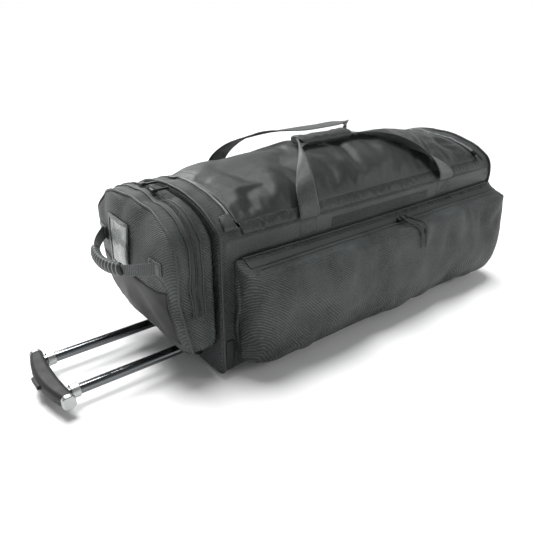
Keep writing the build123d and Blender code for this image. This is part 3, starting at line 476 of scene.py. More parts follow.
def open_tree(name, **inputs):
    """Starts a geometry tree with named inputs and returns it with its input node."""
    tree = bpy.data.node_groups.new(name, "GeometryNodeTree")
    tree.interface.new_socket("Geometry", in_out="INPUT", socket_type="NodeSocketGeometry")
    for label, kind in inputs.items():
        tree.interface.new_socket(label, in_out="INPUT", socket_type=f"NodeSocket{kind}")
    tree.interface.new_socket("Geometry", in_out="OUTPUT", socket_type="NodeSocketGeometry")
    return tree, add_node(tree, "NodeGroupInput")


def close_tree(tree, entry, geometry):
    """Ends a tree with real meshes and their material."""
    real = add_node(tree, "GeometryNodeRealizeInstances", {"Geometry": geometry})
    smooth = add_node(tree, "GeometryNodeSetShadeSmooth", {"Geometry": real.outputs[0]})
    coated = add_node(
        tree, "GeometryNodeSetMaterial", {"Geometry": smooth.outputs[0], "Material": entry.outputs["Finish"]}
    )
    add_node(tree, "NodeGroupOutput", {"Geometry": coated.outputs[0]})
    return tree


cord_tree, entry = open_tree("bound_cord", Radius="Float", Finish="Material")
cord_line = add_node(cord_tree, "GeometryNodeMeshToCurve", {"Mesh": entry.outputs["Geometry"]})
cord_ring = add_node(
    cord_tree, "GeometryNodeCurvePrimitiveCircle", {"Radius": entry.outputs["Radius"]}, {"Resolution": 10}
)
cord_skin = add_node(
    cord_tree, "GeometryNodeCurveToMesh",
    {"Curve": cord_line.outputs[0], "Profile Curve": cord_ring.outputs["Curve"]}, {"Fill Caps": True},
)
close_tree(cord_tree, entry, cord_skin.outputs[0])

bead_tree, entry = open_tree("row_of_beads", Spacing="Float", Size="Vector", Finish="Material")
bead_line = add_node(bead_tree, "GeometryNodeMeshToCurve", {"Mesh": entry.outputs["Geometry"]})
bead_spots = add_node(
    bead_tree, "GeometryNodeResampleCurve",
    {"Curve": bead_line.outputs[0], "Length": entry.outputs["Spacing"]}, mode="LENGTH",
)
bead = add_node(bead_tree, "GeometryNodeMeshUVSphere", (), {"Segments": 6, "Rings": 4, "Radius": 0.5})
UP_ATTRIBUTE = {"values": {"Name": "up"}, "data_type": "FLOAT_VECTOR"}
bead_up = add_node(bead_tree, "GeometryNodeInputNamedAttribute", **UP_ATTRIBUTE)
bead_way = add_node(bead_tree, "GeometryNodeInputTangent")
bead_turn = add_node(
    bead_tree, "FunctionNodeAxesToRotation",
    {"Primary Axis": bead_up.outputs[0], "Secondary Axis": bead_way.outputs[0]},
    primary_axis="Z", secondary_axis="X",
)
beads = add_node(
    bead_tree, "GeometryNodeInstanceOnPoints",
    {
        "Points": bead_spots.outputs[0],
        "Instance": bead.outputs["Mesh"],
        "Rotation": bead_turn.outputs[0],
        "Scale": entry.outputs["Size"],
    },
)
close_tree(bead_tree, entry, beads.outputs[0])


def follow(name, paths, ups, tree, values, body, loop=False):
    """Runs a tree along paths of points in millimetres and bakes what it makes."""
    points, edges, normals = [], [], []
    for path, up in zip(paths, ups):
        first = len(points)
        points += [tuple(np.array(p) * MM) for p in path]
        normals += [tuple(u) for u in up]
        edges += [(first + k, first + k + 1) for k in range(len(path) - 1)]
        if loop:
            edges.append((first + len(path) - 1, first))
    mesh = bpy.data.meshes.new(name)
    mesh.from_pydata(points, edges, [])
    up_values = mesh.attributes.new("up", "FLOAT_VECTOR", "POINT").data
    up_values.foreach_set("vector", np.ravel(normals).astype(np.float32))
    piece = bpy.data.objects.new(name, mesh)
    scene.collection.objects.link(piece)
    modifier = piece.modifiers.new("follow", "NODES")
    modifier.node_group = tree
    for item in tree.interface.items_tree:
        if item.in_out == "INPUT" and item.name in values:
            modifier[item.identifier] = values[item.name]
    bpy.context.view_layer.update()
    bake(piece)
    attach(piece, body)
    return piece


def stitched(name, paths, ups, body, spacing=4.6):
    """Sews a row of thread along paths."""
    values = {"Spacing": spacing * MM, "Size": (3.3 * MM, 0.9 * MM, 0.8 * MM), "Finish": sewing_thread}
    return follow(name, paths, ups, bead_tree, values, body)


# A faint sheen that draws the seams as thin lit lines.
piping_tape = woven("bound_piping_tape", "#0a0b0b", "#2f3333", 1.8, roughness=0.45, sheen=0.1)
# Thread a little paler than its cloth, so that the stitches show close up.
sewing_thread = hard("bonded_nylon_thread", "#2a2d2d", 0.0, 0.55, 0.5, 0.1)
for x, inward, end_name in ((-407.5, 1, "handle_end"), (407.5, -1, "wheel_end")):
    ring = section
    if x > 0:
        far_up = [p for p in far_run if p[1] > house_z + 2]
        near_up = [p for p in near_run if p[1] > house_z + 2]
        ring = far_up + crown_run[1:-1] + near_up[::-1]
    outline = [(x, 1.02 * y, z + (2 if z > 100 else -2)) for y, z in ring]
    laid, ups = lay_on(main_compartment, outline, 2.2)
    values = {"Radius": 2.6 * MM, "Finish": piping_tape}
    welt = follow(f"{end_name}_piping", [laid], [ups], cord_tree, values, "bag", loop=x < 0)
    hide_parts(f"{end_name}_welt")
    sewn, ups = lay_on(main_compartment, [(x + 8 * inward, p[1], p[2]) for p in laid], 0.3)
    stitched(f"{end_name}_piping_thread", [sewn], [ups], "bag")

# Lid: one padded panel of lighter nylon, domed over the load, sewn along its near edge and zipped
# round the rest. Its slack gathers in folds by the zipper's two ends and along the hinge seam.
lid_half_x, lid_half_y = 363.0, 149.0
lid_angle = acos(lid_half_y / half_width)
lid_edge = shoulder + (end_crown - shoulder) * sin(lid_angle)
lid_crown = 374.0
lid_x = np.linspace(-lid_half_x, lid_half_x, 97)
lid_turns = np.linspace(pi - lid_angle, lid_angle, 49)


def lid_place(x, turn):
    """Returns a point on the lid's top, whose crown rises towards the lid's middle."""
    crown = end_crown + (lid_crown - end_crown) * (1 - (x / lid_half_x) ** 2)
    rise = (crown - lid_edge) / (1 - sin(lid_angle))
    return (x, half_width * cos(turn), crown - rise + rise * sin(turn))


# Finer and shinier than the walls, so that its folds catch the light.
lid_nylon = woven("lid_nylon_weave", "#020303", "#2b302f", 2.6, roughness=0.46, sheen=0.08, relief=0.5)
points = [lid_place(x, turn) for x in lid_x for turn in lid_turns]
lid = new_piece("lid_cover", points, grid_faces(len(lid_x), len(lid_turns)), lid_nylon, closed=False)
points, normals = read_points(lid)
if normals[:, 2].mean() < 0:
    lid.data.flip_normals()
edge_gap = np.minimum(lid_half_x - np.abs(points[:, 0]), lid_half_y - np.abs(points[:, 1]))
held = np.clip(1 - (edge_gap - 4) / 14, 0, 1)
lid_folds = []
handle_end_folds = ((-112, 95, 5), (-84, 120, 5.5), (-56, 130, 6), (-28, 110, 5), (6, 90, 4))
wheel_end_folds = (
    (-70, 250, -7), (-40, 262, -6), (-95, 268, -6), (-60, 300, 6), (-100, 300, 5), (-20, 305, 6),
)
for y, reach, height in handle_end_folds:
    lid_folds.append(((-352, y, 330), (-352 + reach, y - 8, 352), 6.5, height))
for y, x, depth in wheel_end_folds:
    lid_folds.append(((x, y, 350), (350, y - 26, 322), 9, depth))
lid_folds.append(((150, -120, 335), (250, 40, 372), 18, -8))
lid_folds.append(((205, -135, 325), (290, 30, 368), 15, -7))
lid_folds.append(((60, -118, 340), (140, 20, 378), 20, 5))
lid_folds.append(((-60, -130, 335), (-20, -40, 375), 22, 4))
for k in range(17):
    x = -160 + 27 * k
    pucker_end = (x + 9 * sin(2.3 * k), -120 + 6 * cos(k), 330)
    lid_folds.append(((x, -147, 304), pucker_end, 5.5, 3.2 + sin(1.7 * k)))
crumple(lid, folds=lid_folds, rumples=((85, 7, 4), (30, 2.4, 5)), held=held)
settle(lid, held, pressure=2.0, growth=0.025, limit=7)
thicken(lid, 4.0)
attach(lid, "lid")
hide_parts("lid_panel")

# Lid zipper: coil zipper on woven tape round three sides of the opening, with a row of thread each
# side, and a folded square of webbing over the near end of the run beside the pull handle's end.
# Fine black tape that sinks the zippers into dark grooves.
zipper_cloth = woven("zipper_tape_weave", "#0f1111", "#1f2222", 1.0, roughness=0.6, sheen=0.1, relief=0.3)
# Pale coil that draws the bright line round the lid.
bright_coil = hard("bright_zipper_coil", "#a3a9a8", 0.0, 0.3, 0.6, 0.1)
# Dark coil on both pockets, seen only by its glints.
black_coil = hard("black_zipper_coil", "#2a2e2d", 0.0, 0.28, 0.6, 0.1)


def strip_grid(path, ups, low, high, count=5):
    """Returns rows of points that run along a path, from one offset across it to another."""
    path, ups = np.asarray(path, float), np.asarray(ups, float)
    way = np.gradient(path, axis=0)
    across = np.cross(ups, way)
    across /= np.maximum(np.linalg.norm(across, axis=1), 1e-9)[:, None]
    return np.array([path + across * offset for offset in np.linspace(low, high, count)])


def coil_rows(name, path, ups, body, coil, gap=1.9):
    """Lays the two rows of coil turns that mesh along a zipper's middle."""
    rows = strip_grid(path, ups, -gap, gap, 2)
    values = {"Spacing": 2.1 * MM, "Size": (1.5 * MM, 3.0 * MM, 1.8 * MM), "Finish": coil}
    return follow(name, list(rows), [ups, ups], bead_tree, values, body)


def corner_line(points, radius=12, step=8):
    """Returns a path through points with its corners rounded, in short steps."""
    points = [np.array(p, float) for p in points]
    line = [points[0]]
    for before, here, after in zip(points, points[1:], points[2:]):
        into, out = before - here, after - here
        cut = min(radius, np.linalg.norm(into) / 2, np.linalg.norm(out) / 2)
        start, stop = here + into / np.linalg.norm(into) * cut, here + out / np.linalg.norm(out) * cut
        line += [(1 - t) ** 2 * start + 2 * t * (1 - t) * here + t * t * stop for t in np.linspace(0, 1, 5)]
    line.append(points[-1])
    dense = []
    for a, b in zip(line, line[1:]):
        count = max(1, int(np.linalg.norm(b - a) / step))
        dense += [a + (b - a) * k / count for k in range(count)]
    return np.array(dense + [line[-1]])


zip_x, zip_y = 367.5, 155.0
zip_near, zip_far = 6 - zip_y, zip_y - 3
zip_corners = [(-zip_x, zip_near, 0), (-zip_x, zip_far, 0), (zip_x, zip_far, 0), (zip_x, zip_near, 0)]
outline = corner_line(zip_corners, 14)


def over_shell(x, y, rise=14):
    """Returns a point a little above the main compartment's arch."""
    inside = min(abs(y) / half_width, 0.995)
    return (x, y, shoulder + (end_crown - shoulder) * sqrt(1 - inside**2) + rise)


def shell_line(path, lift, shift=0.0):
    """Lays a plan-view path on the main compartment, moved outwards from the lid by the shift."""
    moved = []
    for x, y, _ in path:
        x_out = x + np.sign(x) * shift * (abs(x) > zip_x - 12)
        y_out = y + shift * 0.6 * (y > zip_y - 16)
        moved.append(over_shell(x_out, y_out))
    return lay_on(main_compartment, moved, lift)


tape_rows = []
for shift in (1.0, 4.0, 8.0, 12.0):
    laid, _ = shell_line(outline, 0.5, shift)
    tape_rows.append(laid)
tape = patch("lid_zipper_tape", tape_rows[::-1], 0.9, zipper_cloth, "bag")
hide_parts("lid_zipper")
coil_path, coil_ups = shell_line(outline, 1.9, 0.4)
coil_rows("lid_zipper_coil", coil_path, coil_ups, "bag", bright_coil)
for k, shift in enumerate((7.5, 13.5)):
    sewn, ups = shell_line(outline, 1.2 if k == 0 else 0.3, shift)
    stitched(f"lid_zipper_thread_{k}", [sewn], [ups], "bag")
rim = [(0.975 * x, 0.945 * y, 0) for x, y, _ in outline]
sewn, ups = lay_on(lid, [over_shell(x, y, 30) for x, y, _ in rim], 0.3)
stitched("lid_rim_thread", [sewn], [ups], "lid")
# Ribs across a paler, shinier cloth: the eye picks the webbing out from the bag.
band_cloth = woven(
    "nylon_webbing", "#070808", "#454b4a", 2.4, roughness=0.42, sheen=0.22, relief=0.7, direction="X"
)
tab_x = np.linspace(-393, -364, 6)


def shell_patch(x_stops, y_stops, lift):
    """Returns rows of points laid on the main compartment's arch."""
    return [lay_on(main_compartment, [over_shell(x, y) for x in x_stops], lift)[0] for y in y_stops]


tab_rows = shell_patch(tab_x, np.linspace(-160.5, -139, 6), 2.4)
tab = patch("zipper_end_tab", tab_rows, 1.6, band_cloth, "bag")
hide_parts("zipper_tab")
tab_far = shell_patch(np.linspace(-380, -356, 5), np.linspace(34, 62, 6), 2.6)
patch("zipper_loop_tab", tab_far, 2.2, band_cloth, "bag")
tab_box = [(-390, -158, 0), (-367, -158, 0), (-367, -142, 0), (-390, -142, 0), (-390, -157, 0)]
tab_edge = corner_line(tab_box, 2, 4)
sewn, ups = lay_on(tab, [over_shell(x, y, 16) for x, y, _ in tab_edge], 0.2)
stitched("zipper_end_tab_thread", [sewn], [ups], "bag", 3.6)

# Hinge gusset: the lid's near edge, where its nylon runs on down to the side band. It is gathered
# by the seam.
gusset_x = np.linspace(-358, 358, 260)
gusset_rows = []
for k, t in enumerate(np.linspace(0, 1, 9)):
    row = []
    for x in gusset_x:
        y, z = -162.6 + 17.6 * t, 285.0 + 20.0 * t ** 0.8
        wide_gather = noise.noise(Vector((x / 9 + 2 * t, 0.6 * t, 31)))
        gather = wide_gather + 0.5 * noise.noise(Vector((x / 4, t, 37)))
        swell = (3.0 * gather + 1.8) * sin(pi * t) ** 0.8
        row.append((x + 2 * sin(x / 9) * t, y - swell * 0.8, z + swell * 0.8))
    gusset_rows.append(row)
gusset = patch("lid_hinge_gusset", gusset_rows[::-1], 1.0, lid_nylon, "bag", levels=0)
if read_points(gusset)[1][:, 1].mean() > 0.5:
    gusset.data.flip_normals()
matrix = gusset.matrix_world.copy()
gusset.parent = None
gusset.matrix_world = matrix
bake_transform(gusset)

# Side bands: seat-belt webbing sewn along both long sides over the shell, with a strip of loop tape
# on the near one and the handles' ends boxed down with thread.
# Matt fuzzy pile that takes no highlight.
loop_tape = woven("looped_pile_tape", "#141616", "#2c2f2f", 1.8, roughness=0.95, sheen=0.7, relief=1.0)
band_pieces = {}
for side, side_name in ((-1, "near"), (1, "far")):
    band_x = np.linspace(-398, 398, 120)
    rows = []
    for z in np.linspace(243.5, 284, 6):
        rows.append(lay_on(main_compartment, [(x, side * 172, z) for x in band_x], 0.3)[0])
    rows = rows if side > 0 else rows[::-1]
    band = patch(f"{side_name}_webbing_band", rows, 1.6, band_cloth, "bag")
    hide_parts(f"{side_name}_side_band")
    band_pieces[side] = band
    for k, z in enumerate((246, 281.5)):
        sewn, ups = lay_on(band, [(x, side * 172, z) for x in band_x], 0.2)
        stitched(f"{side_name}_band_thread_{k}", [sewn], [ups], "bag")
strip_x = np.linspace(-145, 165, 50)
rows = [lay_on(band_pieces[-1], [(x, -174, z) for x in strip_x], 0.2)[0] for z in np.linspace(271, 247.5, 5)]
strip = patch("loop_tape_strip", rows, 1.5, loop_tape, "bag")
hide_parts("hook_strip")
for side, side_name in ((-1, "near"), (1, "far")):
    for leg_x in (-205, 215):
        leg_name = f"{side_name}_{'left' if leg_x < 0 else 'right'}"
        anchor_x = np.linspace(leg_x - 25, leg_x + 25, 7)
        spots = [[(x, side * 175, z) for x in anchor_x] for z in np.linspace(246, 285, 6)]
        rows = [lay_on(band_pieces[side], row, 0.3)[0] for row in spots]
        rows = rows if side > 0 else rows[::-1]
        anchor = patch(f"{leg_name}_anchor", rows, 1.9, band_cloth, "bag")
        box = [(-21, 250), (21, 250), (21, 279), (-21, 279), (-21, 251)]
        cross = [[(-21, 250), (21, 279)], [(21, 250), (-21, 279)]]
        paths, ups = [], []
        for shape in [box] + cross:
            line = corner_line([(leg_x + x, side * 176, z) for x, z in shape], 0.5, 4)
            laid, up = lay_on(anchor, line, 0.2)
            paths.append(laid)
            ups.append(up)
        stitched(f"{leg_name}_anchor_thread", paths, ups, "bag", 3.6)
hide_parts("handle_anchors")

# Side pocket: a long bellows pouch of the same nylon, stuffed so that its front rolls forward over
# a tucked base. Its top is zipped between a piped front edge and a flap under the band.
pouch_left, pouch_right = -379.0, 410.0
pouch_back, pouch_depth = -162.2, 65.0
pouch_x = stations(pouch_left, (pouch_left + 24, 8), (pouch_right - 24, 74), (pouch_right, 6))


def pouch_section(x):
    """Returns the pouch's section at a place along it: the back, the sloping top, the front and the base."""
    near_end = min(x - pouch_left, pouch_right - x)
    reach = 34 if x > 0 else 70
    full = sqrt(max(0.0, 1 - (1 - min(near_end / reach, 1)) ** 2))
    depth = pouch_depth * (0.42 + 0.58 * full)
    low = 14 + 26 * (1 - full)
    dip = 3 + 5 * (1 - ((x - 10) / 400) ** 2)
    if x < -300:
        low += 10 * ((-300 - x) / 80) ** 2
    top_back, top_front = 239 - 0.6 * dip, 226 - dip
    front = pouch_back - depth
    curve = [
        (pouch_back, low + 8), (pouch_back, 0.5 * (low + top_back)), (pouch_back, top_back),
        (pouch_back - 0.33 * depth, top_back - 3), (pouch_back - 0.66 * depth, top_front + 4),
        (front + 7, top_front + 1), (front + 1, top_front - 9), (front - 0.5, top_front - 50),
        (front, 0.45 * (low + top_front)), (front + 5, low + 58), (front + 18, low + 22),
        (front + 38 * depth / pouch_depth, low + 3), (pouch_back - 14, low),
    ]
    closed = np.array(curve + curve[:3])
    out = []
    for k in range(len(curve)):
        a, b, c, d = (closed[(k + s - 1) % len(curve)] for s in range(4))
        for t in np.linspace(0, 1, 5)[:-1]:
            out.append(through(a, b, c, d, t))
    return [(x, y, z) for y, z in out]


loops = [pouch_section(x) for x in pouch_x]
across = len(loops[0])
points = [p for loop in loops for p in loop]
faces = grid_faces(len(pouch_x), across, loop=True)
for row, x in ((0, pouch_left), (len(pouch_x) - 1, pouch_right)):
    ring = list(range(row * across, (row + 1) * across))
    centre = np.mean([points[k] for k in ring], axis=0)
    for scale in (0.8, 0.6, 0.4, 0.2):
        start = len(points)
        for k in range(across):
            edge = np.array(points[row * across + k])
            bulge = (9 if x > 0 else -3) * (1 - scale)
            points.append(tuple(centre + (edge - centre) * scale + (bulge, 0, 0)))
        fresh = list(range(start, start + across))
        for k in range(across):
            after = (k + 1) % across
            faces.append((ring[k], ring[after], fresh[after], fresh[k]))
        ring = fresh
    faces.append(tuple(ring))
side_pouch = new_piece("side_pouch", points, faces, ballistic_nylon)
points, _ = read_points(side_pouch)
held = np.where((points[:, 1] > pouch_back - 3) | (points[:, 2] < 18), 1.0, 0.0)
on_top = np.clip((points[:, 2] - 200) / 8, 0, 1) * np.clip((points[:, 1] + 216) / 6, 0, 1)
held = np.maximum(held, on_top)
pouch_folds = []
for k in range(9):
    x = -300 + 78 * k
    fold_end = (x + 30 * sin(2.1 * k), -226, 150 - 12 * cos(3 * k))
    pouch_folds.append(((x, -232, 219), fold_end, 13, 5.5 * cos(2.7 * k)))
for x, reach, height in ((-368, 60, -6), (-366, 90, 5), (-350, 120, -5)):
    pouch_folds.append(((x, -222, 218), (x + reach, -228, 218 - reach), 9, height))
pouch_folds.append(((395, -222, 216), (330, -230, 150), 14, -6))
pouch_folds.append(((380, -226, 60), (250, -230, 120), 22, 5))
pouch_folds.append(((-360, -215, 40), (-250, -226, 85), 16, -5))
for x, y, z, run, drop, height in (
    (60, -228, 190, 90, 10, -4), (-150, -228, 120, 120, -30, 5), (-20, -228, 90, 110, 25, -5),
    (180, -228, 160, 90, 60, 5), (-260, -228, 170, 60, 80, -4), (290, -228, 200, 60, 90, -5),
):
    pouch_folds.append(((x, y, z), (x + run, y, z - drop), 16, height))
crumple(side_pouch, folds=pouch_folds, rumples=((110, 12, 8), (45, 4, 9)), held=held)
settle(side_pouch, held, pressure=3.0, growth=0.015, limit=7)
thicken(side_pouch, 0)
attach(side_pouch, "bag")
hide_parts("side_pocket")
top_x = np.linspace(-366, 392, 120)


def pouch_line(y, lift, z=262):
    """Lays a straight line on the pouch's top."""
    return lay_on(side_pouch, [(x, y, z) for x in top_x], lift)


rows = [pouch_line(y, 0.3)[0] for y in np.linspace(-203, -180, 5)]
tape = patch("side_zipper_tape", rows, 1.0, zipper_cloth, "bag")
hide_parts("side_pocket_zipper")
path, ups = pouch_line(-191.8, 1.5)
coil_rows("side_zipper_coil", path, ups, "bag", black_coil)
for k, y in enumerate((-176.0, -210.0)):
    path, ups = pouch_line(y, 1.2 if k == 0 else 0.2)
    values = {"Radius": 1.9 * MM, "Finish": piping_tape}
    follow(f"side_zipper_edge_{k}", [path], [ups], cord_tree, values, "bag")
    sewn, ups = pouch_line(y + (4.5 if k == 0 else -5.0), 0.4)
    stitched(f"side_zipper_thread_{k}", [sewn], [ups], "bag")

# End pocket: a deep pouch on the pull handle's end, with a wide zipped gusset, a piped face that
# bulges over its load, and a coated panel round its foot, whose near-black is partly painted shade.
face_x, back_x = -489.0, -413.2
end_half, end_bottom, end_corner = 156.5, 55.5, 50.0


def end_loop():
    """Returns the end pocket's outline, from the middle of its base up the far side and back."""
    run = [(y, end_bottom) for y in np.linspace(0, end_half - end_corner, 7)]
    for t in np.linspace(0, pi / 2, 8)[1:]:
        y = end_half - end_corner + end_corner * sin(t)
        run.append((y, end_bottom + end_corner - end_corner * cos(t)))
    run += [(end_half, z) for z in np.linspace(end_bottom + end_corner, shoulder, 15)[1:]]
    run += [(end_half * cos(t), shoulder + 66.5 * sin(t)) for t in np.linspace(0, pi / 2, 17)[1:]]
    return run + [(-y, z) for y, z in run[-2:0:-1]]


def end_face_x(z):
    """Returns how far out the pocket's face is at a height: it tapers in towards its foot."""
    return face_x + 30 * max(0.0, min(1.0, (185 - z) / 130)) ** 1.3


outline = end_loop()
count = len(outline)
points = []
for t in stations(0, (1, 9)):
    for y, z in outline:
        depth = end_face_x(z) - back_x
        pinch = 1 - 0.018 * sin(pi * min(1, 2 * abs(t - 0.5))) - 0.03 * max(0, (t - 0.86) / 0.14) ** 2
        lowered = 200 + (z - 200) * pinch
        points.append((back_x + depth * t, y * pinch, lowered))
for scale in (0.9, 0.8, 0.68, 0.56, 0.44, 0.32, 0.2, 0.09):
    for y, z in outline:
        z_in = 195 + (z * 0.97 + 6 - 195) * scale
        points.append((end_face_x(z_in) - 13 * (1 - scale**2) ** 0.9, y * scale * 0.97, z_in))
rings = len(points) // count
faces = grid_faces(rings, count, loop=True)
faces += [tuple(range((rings - 1) * count, rings * count)), tuple(range(count))]
end_pouch = new_piece("end_pouch", points, faces, ballistic_nylon)
points, _ = read_points(end_pouch)
held = np.clip((points[:, 0] - back_x + 14) / 10, 0, 1)
end_folds = [
    ((-506, 8, 352), (-506, 40, 268), 11, -9), ((-506, -38, 348), (-505, -20, 290), 12, 4),
    ((-504, -60, 230), (-500, -135, 205), 9, -5), ((-504, -90, 190), (-494, -148, 150), 12, 4),
    ((-500, 70, 190), (-496, 130, 140), 12, 5), ((-500, -40, 120), (-492, -120, 80), 14, -4),
    ((-500, 95, 330), (-498, 140, 250), 9, 4), ((-502, -20, 180), (-498, 60, 110), 20, 4),
    ((-430, -150, 300), (-480, -120, 335), 8, -4), ((-436, -60, 340), (-482, -20, 348), 9, -5),
    ((-470, 30, 346), (-440, 90, 338), 10, 4),
]
crumple(end_pouch, folds=end_folds, rumples=((70, 7, 11), (28, 2.4, 12)), held=held)
settle(end_pouch, held, pressure=2.0, growth=0.015, limit=5)
thicken(end_pouch, 0)
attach(end_pouch, "bag")
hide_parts("end_pocket")


def end_line(x_at, lift, low=None, spread=1.04):
    """Lays a line round the end pocket at a distance along it. It is open below the low height."""
    ring = outline if low is None else [p for p in outline if p[1] > low]
    line = [(x_at(z), y * spread, 200 + (z - 200) * spread) for y, z in ring]
    return lay_on(end_pouch, line, lift)


path, ups = end_line(lambda z: end_face_x(z) - 1, 1.6)
values = {"Radius": 2.3 * MM, "Finish": piping_tape}
piping = follow("end_pocket_piping", [path], [ups], cord_tree, values, "bag", loop=True)
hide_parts("end_pocket_welt")
path, ups = end_line(lambda z: end_face_x(z) + 7, 0.3)
stitched("end_pocket_piping_thread", [path], [ups], "bag")
rows = [end_line(lambda z, o=offset: -452 + o, 0.4, low=150)[0] for offset in (-11, -5.5, 0, 5.5, 11)]
tape = patch("end_zipper_tape", rows, 0.9, zipper_cloth, "bag")
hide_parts("end_pocket_zipper")
path, ups = end_line(lambda z: -452, 1.5, low=150)
coil_rows("end_zipper_coil", path, ups, "bag", black_coil)
for k, offset in enumerate((-12.5, 12.5)):
    path, ups = end_line(lambda z, o=offset: -452 + o, 0.9, low=150)
    values = {"Radius": 1.8 * MM, "Finish": piping_tape}
    follow(f"end_zipper_edge_{k}", [path], [ups], cord_tree, values, "bag")
    path, ups = end_line(lambda z, o=offset: -452 + 1.35 * o, 0.3, low=150)
    stitched(f"end_zipper_thread_{k}", [path], [ups], "bag")


def on_face(y, z):
    """Returns a point in front of the end pocket's face."""
    return (-530, y, z)


# The foot panel's near-black coated cloth is partly painted shade: it darkens the foot, which tucks in under
# the face's overhang.
foot_rows = [
    lay_on(end_pouch, [on_face(y, z) for y in np.linspace(-138, 138, 40)], 0.4)[0]
    for z in np.linspace(66, 196, 22)
]
patch("end_foot_panel", foot_rows[::-1], 0.8, coated_cloth_painted_shade, "bag", levels=0)
flap_edge = ((-78, 226), (-112, 222), (-138, 205), (-143, 150), (-138, 84))
seam = corner_line([on_face(y, z) for y, z in flap_edge], 26)
path, ups = lay_on(end_pouch, seam, -0.3)
seam_values = {"Radius": 1.2 * MM, "Finish": piping_tape}
follow("end_flap_seam", [path], [ups], cord_tree, seam_values, "bag")
flap_thread = ((138, 84), (143, 150), (136, 200), (60, 202), (-78, 202))
seam = corner_line([on_face(y, z) for y, z in flap_thread], 26)
path, ups = lay_on(end_pouch, seam, 1.2)
stitched("end_flap_thread", [path], [ups], "bag")

# ID pocket: a bound frame sewn to the face, with a paper card behind clear vinyl that has gone
# wavy with handling, so that it glints.
id_y, id_z = 32.0, 243.0
id_sheet = (id_y - 38, id_y + 38, id_z - 44, id_z + 44)


def face_grid(y_low, y_high, z_low, z_high, count_y, count_z, lift):
    """Returns rows of points laid on the end pocket's face."""
    rows = []
    for z in np.linspace(z_high, z_low, count_z):
        rows.append(lay_on(end_pouch, [on_face(y, z) for y in np.linspace(y_low, y_high, count_y)], lift)[0])
    return rows


# The only near-white on the bag.
card_paper = hard("plain_card", "#eceeed", 0.0, 0.5, 1.0, 0.05, wear=0.04)
card = patch("id_card_sheet", face_grid(*id_sheet, 14, 16, 1.0), 0.5, card_paper, "bag")
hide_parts("id_card")
vinyl, tree = new_material("clear_vinyl_film")
place = add_node(tree, "ShaderNodeTexCoord").outputs["Object"]
wave_values = {"Scale": 20.0, "Detail": 0.0, "Distortion": 1.0}
waves = add_node(tree, "ShaderNodeTexNoise", {"Vector": place}, wave_values)
wave_height = {"Strength": 1.0, "Distance": 9 * MM}
bump = add_node(tree, "ShaderNodeBump", {"Height": waves.outputs["Fac"]}, wave_height)
shader = add_node(
    tree, "ShaderNodeBsdfPrincipled", {"Normal": bump.outputs["Normal"]},
    {"Base Color": linear("#8d9492"), "Roughness": 0.05, "Alpha": 0.3, "Specular IOR Level": 1.0},
)
add_node(tree, "ShaderNodeOutputMaterial", {"Surface": shader.outputs["BSDF"]})
film = patch("id_film_sheet", face_grid(*id_sheet, 14, 16, 2.0), 0.3, vinyl, "bag")
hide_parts("id_window")
frame_paths = [
    (id_y - 40, id_y + 38, id_z + 42, id_z + 51), (id_y - 40, id_y + 38, id_z - 51, id_z - 42),
    (id_y - 44, id_y - 36, id_z - 51, id_z + 51), (id_y + 36, id_y + 44, id_z - 51, id_z + 51),
]
for k, (y_low, y_high, z_low, z_high) in enumerate(frame_paths):
    wide = 12 if y_high - y_low > 20 else 4
    tall = 14 if z_high - z_low > 20 else 4
    rows = face_grid(y_low, y_high, z_low, z_high, wide, tall, 1.2)
    patch(f"id_binding_{k}", rows, 2.2, band_cloth, "bag")
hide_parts("id_binding")

# Carry handles: two loops of webbing. Each leg rises from its anchor, twists and lies over the lid,
# and the runs meet in a padded wrap closed with hook-and-loop tape.


def spline_rows(stops, per=8):
    """Returns smooth rows between stops, each a centre and a half-width vector in millimetres."""
    stops = np.array(stops, float)
    ends = np.vstack([2 * stops[0] - stops[1], stops, 2 * stops[-1] - stops[-2]])
    rows = []
    for a, b, c, d in zip(ends, ends[1:], ends[2:], ends[3:]):
        for t in np.linspace(0, 1, per, endpoint=False):
            rows.append(through(a, b, c, d, t))
    return np.array(rows + [stops[-1]])


def ribbon(name, stops, thickness, material, body, sewn=True):
    """Makes a webbing strap that follows its stops, with thread along both edges."""
    rows = spline_rows(stops)
    grid = np.array([rows[:, :3] + rows[:, 3:] * side for side in np.linspace(-1, 1, 7)])
    piece = patch(name, grid, thickness, material, body)
    if sewn:
        way = np.gradient(rows[:, :3], axis=0)
        up = np.cross(rows[:, 3:], way)
        up /= np.linalg.norm(up, axis=1)[:, None]
        paths, ups = [], []
        for edge in (-0.86, 0.86):
            for face in (-1, 1):
                line = rows[:, :3] + rows[:, 3:] * edge
                laid = lay_on(piece, line + up * face * (thickness + 2), 0.15)
                paths.append(laid[0])
                ups.append(laid[1])
        stitched(f"{name}_thread", paths, ups, body, 5.2)
    return piece


near_left = [
    (-207, -167.4, 285, 25, 0, 0), (-206, -166, 298, 25, 0, 1), (-204, -158, 314, 24.5, 1, 3),
    (-194, -136, 341, 24, 2, 6), (-176, -106, 362, 22, 8, 10), (-152, -70, 376, 18, 14, 12),
    (-128, -40, 385, 12, 18, 12), (-108, -22, 389, 3, 20, 3), (-60, -17, 389.5, 0, 20, 0),
    (-20, -17, 389.5, 0, 20, 0),
]
near_right = [
    (-20, -17, 389.5, 0, 20, 0), (20, -18, 389.5, 0, 20, 0), (56, -26, 388, 1, 20, -3),
    (96, -46, 381, 4, 18, -9), (136, -76, 369, 8, 15, -13), (174, -112, 350, 14, 9, -12),
    (203, -146, 326, 21, 3, -7), (215, -165, 302, 24.5, 0, -2), (215, -167.4, 285, 25, 0, 0),
]
near_strap_left = ribbon("near_strap_left_leg", near_left, 2.2, band_cloth, "near_handle")
ribbon("near_strap_right_leg", near_right, 2.2, band_cloth, "near_handle")
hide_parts("near_handle_strap")
